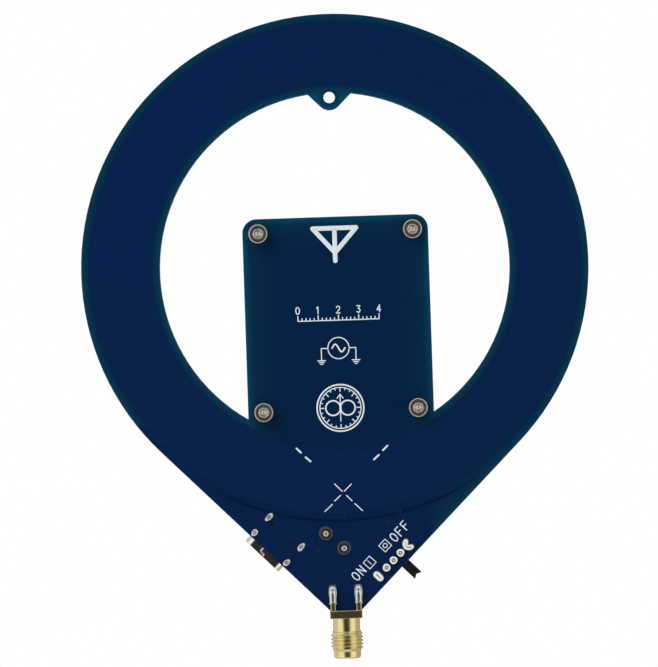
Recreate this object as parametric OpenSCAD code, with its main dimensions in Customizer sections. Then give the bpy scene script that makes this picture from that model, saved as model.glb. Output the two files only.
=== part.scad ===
// Active loop antenna: a ring-shaped circuit board that stands on its coaxial jack.
//
// Millimetres. The origin is the centre of the jack's rim and +Z runs up from it to the ring.
// The soldered side faces -Y and the side with the parts faces +Y.

/* [Board] */
// Diameter of the ring
ring_d = 100; // [98.5:0.5:104]
// Width of the ring's band, from its hole to its outer edge
ring_band = 15.5; // [15:0.1:17]
// Thickness of the board
board_t = 1.6; // [1.2:0.1:2]
// Width of the tail's cut end, where the jack sits
neck_w = 6.2; // [5.8:0.1:6.8]
// Width of the tongue inside the ring
tongue_w = 36.6; // [35:0.2:40]
// Length of the tongue, from the bottom of the ring's hole to its top edge
tongue_len = 44.5; // [42:0.5:48]
// Sideways offset of the tongue from the ring's centre
tongue_shift = 0.3; // [0:0.1:1]
// Radius of the tongue's and the cover's corners
corner_r = 2.8; // [1:0.1:4]
// Radius of the hanging ear
ear_r = 2.5; // [2:0.1:3]
// Diameter of the hole in the hanging ear
ear_hole_d = 2.3; // [1.5:0.1:3]
// Distance of that hole inside the edge of the ring's hole
ear_inset = 0.95; // [0.5:0.05:1.5]

/* [Printed winding] */
// Distance from the ring's hole to the winding
inner_margin = 1.6; // [1.3:0.1:2.2]
// Least distance from the winding to the ring's outer edge
outer_margin = 1.4; // [1:0.1:2.4]
// Distance from one turn to the next
track_pitch = 0.508; // [0.45:0.001:0.7]
// Width of the printed track
track_w = 0.254; // [0.2:0.002:0.35]
// Height of the track with its coating above the board
track_t = 0.07; // [0.04:0.01:0.1]
// Radius of the pad where the track passes through the board
via_pad_r = 0.45; // [0.35:0.05:0.6]
// Length of the track's way out towards the tail
lead_out = 1.6; // [1:0.1:2]

/* [Coaxial jack] */
// Side of the square flange
flange_w = 6.35; // [6.1:0.05:7]
// Thickness of the flange
flange_t = 1.54; // [1.2:0.02:2]
// Diameter of the smooth stretch behind the thread
relief_d = 5.3; // [5.1:0.05:5.4]
// Length of the smooth stretch
relief_len = 2.73; // [2:0.01:4]
// Crest diameter of the thread
thread_d = 6.3; // [6.1:0.01:6.35]
// Length of the threaded stretch
thread_len = 3.86; // [3:0.01:5]
// Pitch of the thread
thread_pitch = 0.7056; // [0.6:0.0001:0.8]
// Depth of the thread
thread_depth = 0.4; // [0.3:0.01:0.42]
// Diameter of the rim in front of the thread
rim_d = 5.3; // [5.1:0.05:5.4]
// Length of the rim
rim_len = 1.4; // [1:0.05:2]
// Chamfer on the rim's outer edge
rim_chamfer = 0.25; // [0.1:0.05:0.25]
// Diameter of the socket that the plug's barrel enters
socket_d = 4.6; // [4.5:0.01:4.65]
// Depth of that socket
socket_len = 1.9; // [1.5:0.05:2.2]
// Diameter of the dielectric sleeve
dielectric_d = 4.1; // [3.8:0.02:4.2]
// Diameter of the centre contact
contact_d = 1.27; // [1.2:0.01:1.5]
// Diameter of the bore in the centre contact
contact_bore_d = 0.94; // [0.9:0.01:1]
// Depth of the bore in the centre contact
contact_bore_len = 2.8; // [2:0.1:3.5]
// Width of the slots that let the contact spring
contact_slot_w = 0.16; // [0.1:0.01:0.2]
// Diameter of the pin that lies on the board
pin_d = 0.9; // [0.7:0.05:1]
// Length of that pin past the flange
pin_len = 4; // [3:0.1:4.5]
// Width and thickness of a leg
leg_w = 1; // [0.8:0.05:1.1]
// Length of a leg past the flange
leg_len = 4.9; // [4:0.1:5.2]
// Distance between the middles of the two legs of a side
leg_spacing = 5.08; // [4.7:0.02:5.2]

/* [Charging socket] */
// Width of the socket's shell
usb_w = 8.94; // [8.6:0.02:9.2]
// Height of the shell
usb_h = 3.16; // [3:0.02:3.4]
// Length of the shell
usb_len = 7.3; // [6.8:0.05:7.8]
// Thickness of the shell's metal
usb_wall = 0.3; // [0.2:0.02:0.34]
// How far the mouth stands out past the board's edge
usb_overhang = 1.5; // [0.5:0.1:2]
// Distance from the tip of the tail's V to the socket's middle, along the edge
usb_from_tip = 21.5; // [20.5:0.5:24]
// Distance from the mouth to the front lugs
usb_lug_front = 2.55; // [2.3:0.05:2.8]
// Distance from the front lugs to the back ones
usb_lug_pitch = 4.18; // [4:0.02:4.3]
// Length of a front lug's cross section
usb_lug_front_len = 0.8; // [0.6:0.05:1]
// Length of a back lug's cross section
usb_lug_back_len = 1.1; // [0.8:0.05:1.2]
// Distance between the two pegs
usb_peg_across = 5.78; // [5.5:0.02:6]
// Diameter of a peg
usb_peg_d = 0.55; // [0.4:0.05:0.6]
// Distance from the mouth to the pegs
usb_peg_back = 6.2; // [6:0.05:6.5]
// Width of the plastic tongue inside
usb_tongue_w = 6.69; // [6.2:0.01:6.8]
// Thickness of that tongue
usb_tongue_t = 0.7; // [0.6:0.02:0.8]
// How far the tongue's end lies behind the mouth
usb_tongue_recess = 0.8; // [0.5:0.05:1.2]
// Depth of the plastic block that closes the back
usb_block_len = 2; // [1.6:0.05:2.3]
// Number of contacts on each face of the tongue
usb_contacts_per_face = 12; // [4:1:12]
// Distance between neighbouring contacts
usb_contact_pitch = 0.5; // [0.4:0.01:0.52]
// Width of a contact
usb_contact_w = 0.25; // [0.15:0.01:0.3]

/* [Slide switch] */
// Distance from the tip of the tail's V to the middle pin, along the edge
switch_from_tip = 15.8; // [15.5:0.1:17]
// Distance from the board's edge to the row of pins
switch_inset = 2.15; // [2:0.05:2.6]
// Distance between neighbouring pins
switch_pin_pitch = 2; // [1.8:0.02:2.1]
// Distance between the two tabs
switch_tab_across = 8.32; // [8.1:0.02:8.8]
// Depth of the switch's body
switch_depth = 3.8; // [3.6:0.05:4.4]
// How far the body reaches in front of the pins
switch_front = 1.85; // [1.7:0.05:2]
// Height of the switch's body
switch_h = 4; // [3.9:0.05:5]
// Thickness of the frame's metal
switch_wall = 0.3; // [0.2:0.02:0.34]
// Width of the lever
lever_w = 1.85; // [1.4:0.05:2.2]
// Height of the lever
lever_h = 1.8; // [1.2:0.05:1.85]
// How far the lever stands out past the board's edge
lever_reach = 3.5; // [2:0.1:6]
// Width of the notch in the lever's end
notch_w = 1.3; // [0.6:0.05:1.5]
// Depth of the notch in the lever's end
notch_depth = 0.8; // [0.3:0.05:1.2]
// Travel of the slider
switch_travel = 2; // [1.5:0.05:2.1]
// Thickness of the base's floor
switch_floor_t = 0.8; // [0.6:0.05:0.9]
// Thickness of the base's back wall
switch_back_t = 1.2; // [0.8:0.05:1.3]

/* [Battery] */
// Room between the cell's sides and the standoffs' corners, sideways
cell_side_gap = 0.7; // [0.5:0.1:3]
// Length of the cell
cell_len = 32; // [28:0.5:33]
// Thickness of the cell
cell_t = 4.5; // [3.6:0.1:5.5]
// Distance from the top edge of the cover to the cell
cell_top_gap = 3; // [1.5:0.1:4]
// Thickness of the foam tape behind the cell
foam_t = 0.8; // [0.5:0.1:1]
// Distance of the foam tape inside the cell's edges
foam_inset = 2; // [1:0.5:4]
// Length of the protection board along the cell
guard_len = 3.4; // [3:0.1:3.8]
// Thickness of the bare protection board
guard_t = 0.8; // [0.6:0.1:1]
// Width of a nickel tab
tab_w = 3; // [2:0.1:4]
// Thickness of the polyimide tape
tape_t = 0.12; // [0.08:0.01:0.2]
// How far the tape reaches over the cell
tape_lap = 3; // [2:0.1:5]
// Diameter of a lead over its insulation
lead_d = 1.2; // [0.8:0.05:1.3]

/* [Cover and fasteners] */
// Thickness of the cover plate
cover_t = 1.6; // [1:0.1:2]
// Length of a standoff
standoff_len = 8; // [7.2:0.1:12]
// Size across the flats of a standoff
standoff_af = 3.5; // [3:0.1:3.6]
// Distance of the screws from the sides of the tongue
screw_inset = 3.1; // [2.8:0.1:3.2]
// Distance of the upper screws from the tongue's top edge
screw_top = 2.95; // [2.8:0.05:3.5]
// Distance between the upper and the lower screws
screw_rows = 35.15; // [34:0.05:35.5]
// Diameter of the screws' thread
screw_d = 2; // [1.6:0.1:2]
// Length of a screw below its head
screw_len = 5; // [4:0.1:5.1]
// Diameter of a screw's head
head_d = 3.8; // [3.5:0.1:4]
// Height of a screw's head
head_h = 2; // [1.4:0.1:2.4]
// Size across the flats of the head's socket
hex_af = 1.5; // [1.2:0.1:1.8]
// Depth of the head's socket
hex_depth = 1; // [0.6:0.1:1.2]

/* [Amplifier and charger] */
// Length of the amplifier chip's body
amp_len = 4.9; // [4.6:0.1:5]
// Width of the amplifier chip's body
amp_w = 3.9; // [3.6:0.1:4]
// Height of the amplifier chip
amp_h = 1.5; // [1.2:0.1:1.8]
// Width of the amplifier chip over its leads
amp_span = 6; // [5.6:0.1:6.2]
// Pitch of the amplifier chip's leads
amp_pitch = 1.27; // [0.8:0.01:1.27]
// Width of one lead of the amplifier chip
amp_lead_w = 0.42; // [0.3:0.02:0.5]
// Length of the charger chip's body
charger_len = 2.9; // [2.7:0.1:3]
// Width of the charger chip's body
charger_w = 1.6; // [1.4:0.1:1.7]
// Height of the charger chip
charger_h = 1.1; // [0.9:0.1:1.3]
// Width of the charger chip over its leads
charger_span = 2.8; // [2.6:0.1:3]
// Pitch of the charger chip's leads
charger_pitch = 0.95; // [0.8:0.01:1]
// Width of one lead of the charger chip
charger_lead_w = 0.38; // [0.3:0.02:0.45]
// Length of the bulk capacitor
bulk_len = 3.5; // [3:0.1:3.6]
// Width of the bulk capacitor
bulk_w = 2.8; // [1.6:0.1:3]
// Height of the bulk capacitor
bulk_h = 1.9; // [1.2:0.1:2.4]
// Length of a small chip part
small_len = 1.6; // [1:0.1:1.7]
// Width of a small chip part
small_w = 0.8; // [0.5:0.05:0.85]
// Height of a chip resistor or a lamp
small_h = 0.5; // [0.3:0.05:0.8]

/* [Hidden] */
$fn = 64;

// Clearances: a close fit, a running fit, a hole round a screw or a pin
close_gap = 0.02;
run_gap = 0.05;
hole_gap = 0.1;
slide_gap = 0.12;
// How far a cut reaches past the face that it opens
past = 1;

ring_r = ring_d / 2;
hole_r = ring_r - ring_band;
// The tail's two edges touch the ring at 45 degrees and meet at a right angle below it
tip_y = -ring_r * sqrt(2);
neck_y = tip_y + neck_w / 2;
sma_len = rim_len + thread_len + relief_len + flange_t;
ring_z = sma_len - neck_y;
// The jack's pin lies on the parts side, so the board stands behind the jack's axis
parts_face = pin_d / 2;
solder_face = parts_face + board_t;

// Printed winding, counted from the hole outwards
wind_r = hole_r + inner_margin;
via_pad_in = via_pad_r - 0.2;
turns = floor((ring_band - inner_margin - outer_margin - track_w) / track_pitch);

tongue_rise = tongue_len - hole_r;
tongue_left = tongue_shift - tongue_w / 2;
screw_holes = [
    for (side = [-1, 1])
    for (row = [0, 1])
    [tongue_shift + side * (tongue_w / 2 - screw_inset), tongue_rise - screw_top - row * screw_rows]
];
screw_hole_d = screw_d + 2 * hole_gap;
cover_bottom = tongue_rise - screw_top - screw_rows - screw_inset;
cover_h = tongue_rise - cover_bottom;

// Jack
contact_slot_len = contact_bore_len - 0.5;
leg_x = leg_spacing / 2;
leg_fillet = 0.5;
flank_w = thread_depth * tan(30);
root_w = 0.1;
crest_w = thread_pitch - 2 * flank_w - root_w;
grooves = floor((thread_len - crest_w) / thread_pitch);

// Charging socket
usb_lug_x = (usb_w - usb_wall) / 2;
usb_lug_tip = 0.25;
usb_lug_rows = [[usb_lug_front, usb_lug_front_len], [usb_lug_front + usb_lug_pitch, usb_lug_back_len]];
lug_joint_margin = 0.45;
lug_joint_h = 0.35;
usb_notch_w = usb_peg_across + usb_peg_d + 2 * hole_gap;
usb_contact_recess = 0.5;
usb_peg_short = 0.2;
usb_tail_len = 0.9;
usb_contact_t = 0.06;

// Slide switch, from the middle pin outwards across the edge
switch_len = switch_tab_across + switch_wall;
switch_back = switch_front - switch_depth;
switch_inner_front = switch_front - switch_wall;
terminal_t = 0.2;
terminal_strip = [1.3, 0.8];
terminal_pin = [0.6, 0.4];
terminal_hole = [terminal_pin[0] + 2 * close_gap, terminal_pin[1] + 2 * close_gap];
pin_joint_r = 0.8;
pin_joint_tip_r = 0.48;
tab_joint_margin = 0.62;
pin_tip = 0.6;
tab_len = 1.2;
wiper_t = 0.15;
wiper_end = 0.8;
wiper_bump = [0.5, 0.6];
wiper_rise = 0.6;
wiper_low = switch_floor_t + terminal_t + run_gap;
foot_z = switch_floor_t + terminal_t + wiper_rise;
foot_top = switch_h - switch_wall - slide_gap;
foot_back = switch_back + switch_back_t + slide_gap;
foot_front = switch_inner_front - slide_gap;
lever_root = 0.5;
foot_spare = 0.5;
foot_len = switch_len - 2 * switch_wall - switch_travel - 2 * (slide_gap + foot_spare);
lever_z = (foot_z + foot_top) / 2;
lever_end = switch_inset + lever_reach;

// Battery, seated against the inside of the cover by its foam tape
standoff_r = standoff_af / 2 / cos(30);
cell_w = tongue_w - 2 * (screw_inset + standoff_r + cell_side_gap);
cell_z = standoff_len - foam_t - cell_t;
cell_top = tongue_rise - cell_top_gap;
cell_bottom = cell_top - cell_len;
guard_gap = 0.4;
guard_top = cell_bottom - guard_gap;
guard_inset = 1.5;
guard_w = cell_w - 2 * guard_inset;
guard_z = cell_z + cell_t / 2 - guard_t;
guard_chip = [2.4, 1.4, 0.8];
guard_chip_x = 1.7;
tab_t = 0.12;
cell_corner_r = 1.2;
tab_across = guard_w - 2 * tab_w;
tape_past = 0.6;
tape_low = guard_top - guard_len - tape_past;
lead_pad_up = 12.3;
lead_pad_step = [-3.5, 3];
lead_pads = [for (k = [1, 0]) [k * lead_pad_step[0], neck_y + lead_pad_up + k * lead_pad_step[1]]];
lead_bend = 4;
lead_drop = 3;
lead_lift = 0.3;
lead_aside = 2.5;
lead_starts = [for (side = [-1, 1]) [tongue_shift + side * lead_aside, guard_top - guard_len]];
lead_hole_d = 1.1;
lead_end_z = 0.7;
// A lead's joint: radius and height of the cone on the soldered side, radius of its clipped tip,
// radius and height of the fillet on the parts side
lead_cone_r = 1.4;
lead_cone_h = 1.2;
lead_tip_r = 0.6;
lead_fillet_r = 0.95;
lead_fillet_h = 0.4;

// Places of the small parts, up from the board's cut end
amp_at = [-0.6, 8];
charger_at = [-6.2, 9.4];
bulk_at = [5.3, 15];
lamp_aside = 2.4;
lamp_back = 3;
lamp_pitch = 2.6;
resistors_at = [[-5.2, 5.4, 0], [-5.2, 4, 0], [5.2, 5.4, 0], [2.2, 17.2, 0], [-4.6, 12, 90]];
capacitors_at = [[4.6, 4, 0], [-0.8, 17.2, 0], [9.6, 16.8, 45], [-7.6, 12.2, 45]];

function lerp(a, b, t) = a + (b - a) * t;
function unit(v) = v / norm(v);

// Point at t from 0 to 1 on the cubic curve with these four control points
function cubic(p, t) = let (u = 1 - t)
    u * u * u * p[0] + 3 * u * u * t * p[1] + 3 * u * t * t * p[2] + t * t * t * p[3];

// Solid or outline placed in the board's own plane: x to the right and y up from the ring's centre
// as the soldered side is looked at, z out of the soldered side
module board_plane() {
    translate([0, 0, ring_z]) rotate([90, 0, 0]) children();
}

module solder_side() {
    board_plane() translate([0, 0, solder_face]) children();
}

// As board_plane, but z is the height above the parts side
module parts_side() {
    board_plane() translate([0, 0, parts_face]) mirror([0, 0, 1]) children();
}

// Charging socket's own place in that plane: x along the left edge, y out across it from the mouth
module at_usb() {
    rotate(135) translate([usb_from_tip - ring_r, ring_r + usb_overhang]) children();
}

// Switch's own place in that plane: x along the right edge towards the tip, y out across it
// from the row of pins
module at_switch() {
    rotate(-135) translate([ring_r - switch_from_tip, ring_r - switch_inset]) children();
}

// Outline with round ends, wider than high
module slot_outline(w, h) {
    square([w - h, h], center = true);
    for (side = [-1, 1]) translate([side * (w - h) / 2, 0]) circle(h / 2);
}

module rounded_outline(w, h, r) {
    square([w - 2 * r, h], center = true);
    square([w, h - 2 * r], center = true);
    for (x = [-1, 1])
        for (y = [-1, 1])
            translate([x * (w / 2 - r), y * (h / 2 - r)]) circle(r);
}

module centred_box(size) {
    translate([-size[0] / 2, -size[1] / 2, 0]) cube(size);
}

module tail_outline() {
    polygon([
        [0, 0],
        [-ring_r, -ring_r] / sqrt(2),
        [-neck_w / 2, neck_y],
        [neck_w / 2, neck_y],
        [ring_r, -ring_r] / sqrt(2)
    ]);
}

module tongue_outline() {
    foot = hole_r + inner_margin / 2;
    translate([tongue_left, -foot]) square([tongue_w, foot + tongue_rise - corner_r]);
    translate([tongue_left + corner_r, 0]) square([tongue_w - 2 * corner_r, tongue_rise]);
    for (x = [corner_r, tongue_w - corner_r])
        translate([tongue_left + x, tongue_rise - corner_r]) circle(corner_r);
}

module ear_outline() {
    low = hole_r - ear_inset - ear_r / sqrt(2);
    half = ear_r / sqrt(2);
    rise = hole_r + inner_margin / 2 - low;
    translate([0, hole_r - ear_inset]) circle(ear_r);
    polygon([[-half, low], [half, low], [half + rise, low + rise], [-half - rise, low + rise]]);
}

module board_outline() {
    difference() {
        union() {
            circle(ring_r);
            tail_outline();
        }
        circle(hole_r);
    }
    tongue_outline();
    ear_outline();
}

module board_holes() {
    for (p = screw_holes) translate(p) circle(d = screw_hole_d);
    translate([0, hole_r - ear_inset]) circle(d = ear_hole_d);
    for (p = lead_pads) translate(p) circle(d = lead_hole_d);
    at_usb() {
        for (row = usb_lug_rows)
            for (side = [-1, 1])
                translate([side * usb_lug_x, -row[0]])
                    rotate(90) slot_outline(row[1] + 4 * hole_gap, usb_wall + 3 * hole_gap);
        for (side = [-1, 1])
            translate([side * usb_peg_across / 2, -usb_peg_back]) circle(d = usb_peg_d + hole_gap);
    }
    at_switch() {
        for (k = [-1 : 1]) translate([k * switch_pin_pitch, 0]) circle(d = terminal_pin[0] + 3 * hole_gap);
        for (side = [-1, 1])
            translate([side * switch_tab_across / 2, 0])
                rotate(90) slot_outline(tab_len + 4 * hole_gap, switch_wall + 3 * hole_gap);
    }
}

module main_board() {
    color("midnightblue")
    board_plane() translate([0, 0, parts_face]) linear_extrude(board_t) difference() {
        board_outline();
        board_holes();
    }
}

// Half a turn of track, on the side where y is positive
module half_turn(r, angle = 180) {
    rotate_extrude(angle = angle, $fn = 180) translate([r, 0]) square([track_w, track_t]);
}

// Printed spiral: upper halves lie round the ring's centre and lower halves half a pitch beside it,
// so that each lower half joins one turn to the next
module spiral_track() {
    step = track_pitch / 2;
    last_r = wind_r + (turns - 0.5) * track_pitch;
    for (k = [0 : turns - 1]) half_turn(wind_r + k * track_pitch);
    for (k = [0 : turns - 2]) translate([step, 0, 0]) rotate(180) half_turn(wind_r + (k + 0.5) * track_pitch);
    translate([step, 0, 0]) rotate(180) half_turn(last_r, 90);
    translate([step, -last_r - track_w - lead_out, 0]) cube([track_w, track_w + lead_out, track_t]);
    translate([wind_r - via_pad_in, 0, 0]) cylinder(r = via_pad_r, h = track_t);
}

module rear_winding() {
    color("steelblue") solder_side() spiral_track();
}

module front_winding() {
    color("steelblue") parts_side() mirror([1, 0, 0]) spiral_track();
}

// Half section of the jack's body, from the rim to the inside of the flange
module jack_section() {
    rim_r = rim_d / 2;
    crest_r = thread_d / 2;
    root_r = crest_r - thread_depth;
    thread_end = rim_len + thread_len;
    polygon(concat(
        [[0, 0], [rim_r - rim_chamfer, 0], [rim_r, rim_chamfer], [rim_r, rim_len], [crest_r, rim_len]],
        [for (k = [0 : grooves - 1])
            let (z = rim_len + crest_w + k * thread_pitch)
            each [[crest_r, z], [root_r, z + flank_w], [root_r, z + flank_w + root_w],
                [crest_r, z + 2 * flank_w + root_w]]],
        [[crest_r, thread_end], [relief_d / 2, thread_end],
            [relief_d / 2, sma_len - flange_t / 2], [0, sma_len - flange_t / 2]]
    ));
}

module sma_shell() {
    color("goldenrod")
    difference() {
        union() {
            rotate_extrude() jack_section();
            translate([0, 0, sma_len - flange_t]) centred_box([flange_w, flange_w, flange_t]);
            for (side = [-1, 1])
                for (y = [-solder_face - close_gap - leg_w, -parts_face + close_gap])
                    translate([side * leg_x - leg_w / 2, y, sma_len - flange_t / 2])
                        cube([leg_w, leg_w, leg_len + flange_t / 2]);
        }
        translate([0, 0, -past]) cylinder(d = socket_d, h = socket_len + past);
        cylinder(d = dielectric_d + 2 * close_gap, h = sma_len + past);
    }
}

module sma_dielectric() {
    color("ivory")
    translate([0, 0, socket_len]) difference() {
        cylinder(d = dielectric_d, h = sma_len - socket_len);
        translate([0, 0, -past]) cylinder(d = contact_d + 2 * close_gap, h = sma_len + 2 * past);
    }
}

module sma_contact() {
    color("gold")
    difference() {
        union() {
            translate([0, 0, socket_len]) cylinder(d = contact_d, h = sma_len - socket_len);
            translate([0, 0, socket_len]) cylinder(d = pin_d, h = sma_len - socket_len + pin_len);
        }
        translate([0, 0, socket_len - past]) cylinder(d = contact_bore_d, h = contact_bore_len + past);
        for (turn = [0, 90])
            rotate(turn) translate([0, 0, socket_len - past])
                translate([-contact_d, -contact_slot_w / 2, 0])
                    cube([2 * contact_d, contact_slot_w, contact_slot_len + past]);
    }
}

// Run of solder with a triangular section, w wide on the board and h up the metal beside it
module solder_run(w, h, len) {
    translate([0, len, 0]) rotate([90, 0, 0]) linear_extrude(len) polygon([[0, 0], [w, 0], [0, h]]);
}

module leg_solder(half_w, h, len) {
    for (side = [0, 1]) mirror([side, 0, 0]) translate([half_w, 0, 0]) solder_run(leg_fillet, h, len);
}

module sma_solder() {
    color("silver") {
        for (side = [-1, 1]) {
            solder_side() translate([side * leg_x, neck_y, 0]) leg_solder(leg_w / 2, leg_fillet, leg_len);
            parts_side() translate([side * leg_x, neck_y, 0]) leg_solder(leg_w / 2, leg_fillet, leg_len);
        }
        parts_side() translate([0, neck_y, 0]) leg_solder(pin_d / 2, pin_d / 3, pin_len);
    }
}

module usb_section(inset) {
    slot_outline(usb_w - 2 * inset, usb_h - 2 * inset);
}

// Extrudes a section of the charging socket from front to back, measured from its mouth
module usb_prism(front, back) {
    translate([0, -front, usb_h / 2]) rotate([90, 0, 0]) linear_extrude(back - front) children();
}

module usb_shell() {
    color("silver")
    parts_side() at_usb() {
        difference() {
            usb_prism(0, usb_len) usb_section(0);
            usb_prism(-past, usb_len + past) usb_section(usb_wall);
            translate([-usb_notch_w / 2, -usb_len - past, -past])
                cube([usb_notch_w, usb_block_len + past, past + usb_wall + close_gap]);
        }
        for (row = usb_lug_rows)
            for (side = [-1, 1])
                translate([side * usb_lug_x, -row[0], -board_t - usb_lug_tip])
                    centred_box([usb_wall, row[1], board_t + usb_lug_tip + usb_h / 2]);
    }
}

module usb_moulding() {
    foot_w = usb_notch_w - 2 * close_gap;
    color("dimgray")
    parts_side() at_usb() {
        usb_prism(usb_len - usb_block_len, usb_len) usb_section(usb_wall + close_gap);
        usb_prism(usb_tongue_recess, usb_len - usb_block_len)
            square([usb_tongue_w, usb_tongue_t], center = true);
        translate([-foot_w / 2, -usb_len, close_gap])
            cube([foot_w, usb_block_len - close_gap, usb_wall + usb_tongue_t]);
        for (side = [-1, 1])
            translate([side * usb_peg_across / 2, -usb_peg_back, usb_peg_short - board_t])
                cylinder(d = usb_peg_d, h = board_t);
    }
}

module usb_contacts() {
    first = -(usb_contacts_per_face - 1) / 2;
    len_inside = usb_len - usb_block_len - usb_tongue_recess - usb_contact_recess;
    color("gold")
    parts_side() at_usb()
        for (k = [0 : usb_contacts_per_face - 1])
            translate([(first + k) * usb_contact_pitch, 0, 0]) {
                for (z = [usb_h / 2 + usb_tongue_t / 2, usb_h / 2 - usb_tongue_t / 2 - usb_contact_t])
                    translate([-usb_contact_w / 2, usb_block_len - usb_len, z])
                        cube([usb_contact_w, len_inside, usb_contact_t]);
                translate([-usb_contact_w / 2, -usb_len - usb_tail_len, 0])
                    cube([usb_contact_w, usb_tail_len, 2 * usb_contact_t]);
            }
}

// Flat oval of solder with a hole for the metal that it holds, w by h, and a margin round that metal
module oval_joint(w, h, margin, rise) {
    linear_extrude(rise) difference() {
        slot_outline(w + 2 * margin, h + 2 * margin);
        square([w + 2 * close_gap, h + 2 * close_gap], center = true);
    }
}

module usb_lug_solder() {
    color("gainsboro")
    solder_side() at_usb()
        for (row = usb_lug_rows)
            for (side = [-1, 1])
                translate([side * usb_lug_x, -row[0], 0]) rotate(90)
                    oval_joint(row[1], usb_wall, lug_joint_margin, lug_joint_h);
}

module switch_frame() {
    inner_len = switch_len - 2 * switch_wall;
    slot_w = lever_w + switch_travel + 2 * slide_gap;
    slot_h = lever_h + 2 * slide_gap;
    color("silver")
    parts_side() at_switch() {
        difference() {
            translate([-switch_len / 2, switch_back, 0]) cube([switch_len, switch_depth, switch_h]);
            translate([-inner_len / 2, switch_back - past, -past])
                cube([inner_len, switch_depth - switch_wall + past, switch_h - switch_wall + past]);
            translate([-slot_w / 2, switch_inner_front - past, lever_z - slot_h / 2])
                cube([slot_w, switch_wall + 2 * past, slot_h]);
        }
        for (side = [-1, 1])
            translate([side * switch_tab_across / 2, 0, -board_t - pin_tip])
                centred_box([switch_wall, tab_len, board_t + pin_tip + switch_floor_t]);
    }
}

module switch_base() {
    base_len = switch_len - 2 * switch_wall - 2 * close_gap;
    color("saddlebrown")
    parts_side() at_switch()
        difference() {
            translate([-base_len / 2, switch_back, 0]) {
                cube([base_len, switch_depth - switch_wall - close_gap, switch_floor_t]);
                cube([base_len, switch_back_t, switch_h - switch_wall - close_gap]);
            }
            for (k = [-1 : 1])
                translate([k * switch_pin_pitch, 0, -past])
                    centred_box([terminal_hole[0], terminal_hole[1], switch_floor_t + 2 * past]);
        }
}

module switch_terminals() {
    pin_len_in_all = pin_tip + board_t + switch_floor_t + terminal_t / 2;
    color("gold")
    parts_side() at_switch()
        for (k = [-1 : 1]) translate([k * switch_pin_pitch, 0, 0]) {
            translate([0, 0, switch_floor_t]) centred_box([terminal_strip[0], terminal_strip[1], terminal_t]);
            translate([0, 0, -board_t - pin_tip])
                centred_box([terminal_pin[0], terminal_pin[1], pin_len_in_all]);
        }
}

// Everything on the slider rests at the OFF end of its travel
module at_slider() {
    parts_side() at_switch() translate([-switch_travel / 2, 0, 0]) children();
}

module switch_wiper() {
    color("goldenrod")
    at_slider() {
        translate([0, 0, foot_z - wiper_t])
            centred_box([switch_pin_pitch + 2 * wiper_end, wiper_bump[1], wiper_t]);
        for (side = [-1, 1])
            translate([side * switch_pin_pitch / 2, 0, wiper_low])
                centred_box([wiper_bump[0], wiper_bump[1], foot_z - wiper_low - wiper_t / 2]);
    }
}

module switch_slider() {
    notch_half = notch_w / 2;
    color("black")
    at_slider()
        difference() {
            union() {
                translate([-foot_len / 2, foot_back, foot_z])
                    cube([foot_len, foot_front - foot_back, foot_top - foot_z]);
                translate([-lever_w / 2, foot_front - lever_root, lever_z - lever_h / 2])
                    cube([lever_w, lever_end - foot_front + lever_root, lever_h]);
            }
            translate([0, lever_end, lever_z - lever_h]) linear_extrude(2 * lever_h)
                polygon([[0, -notch_depth], [notch_half, 0], [notch_half, past], [-notch_half, past],
                    [-notch_half, 0]]);
        }
}

// Each joint is a clipped cone of solder with a hole for its pin
module switch_pin_solder() {
    color("gainsboro")
    solder_side() at_switch()
        for (k = [-1 : 1])
            translate([k * switch_pin_pitch, 0, 0])
                difference() {
                    cylinder(r1 = pin_joint_r, r2 = pin_joint_tip_r, h = pin_tip);
                    translate([0, 0, -past])
                        centred_box([terminal_hole[0], terminal_hole[1], pin_tip + 2 * past]);
                }
}

module switch_tab_solder() {
    color("gainsboro")
    solder_side() at_switch()
        for (side = [-1, 1])
            translate([side * switch_tab_across / 2, 0, 0]) rotate(90)
                oval_joint(tab_len, switch_wall, tab_joint_margin, pin_tip);
}

module battery_cell() {
    color("lightgray")
    parts_side()
        translate([tongue_shift, (cell_top + cell_bottom) / 2, cell_z])
            linear_extrude(cell_t) rounded_outline(cell_w, cell_len, cell_corner_r);
}

module battery_tabs() {
    reach = guard_len / 2 + guard_gap;
    color("silver")
    parts_side()
        for (side = [-1, 1])
            translate([tongue_shift + side * tab_across / 2, cell_bottom - reach / 2, guard_z + guard_t])
                centred_box([tab_w, reach, tab_t]);
}

module battery_guard_board() {
    color("darkgreen")
    parts_side()
        translate([tongue_shift, guard_top - guard_len, guard_z]) {
            translate([-guard_w / 2, 0, 0]) cube([guard_w, guard_len, guard_t]);
            for (side = [-1, 1])
                translate([side * guard_chip_x, guard_len / 2, guard_t]) centred_box(guard_chip);
        }
}

module battery_tape() {
    reach = cell_bottom + tape_lap - tape_low;
    room = [cell_w + 2 * close_gap, cell_t + 2 * close_gap];
    color("orange")
    parts_side()
        translate([tongue_shift, tape_low + reach, cell_z + cell_t / 2]) rotate([90, 0, 0])
            linear_extrude(reach) difference() {
                square([room[0] + 2 * tape_t, room[1] + 2 * tape_t], center = true);
                square(room, center = true);
            }
}

module battery_foam() {
    foam_low = cell_bottom + tape_lap + foam_inset / 2;
    color("white")
    parts_side()
        translate([tongue_shift - cell_w / 2 + foam_inset, foam_low, standoff_len - foam_t])
            cube([cell_w - 2 * foam_inset, cell_top - foam_inset - foam_low, foam_t]);
}

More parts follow.
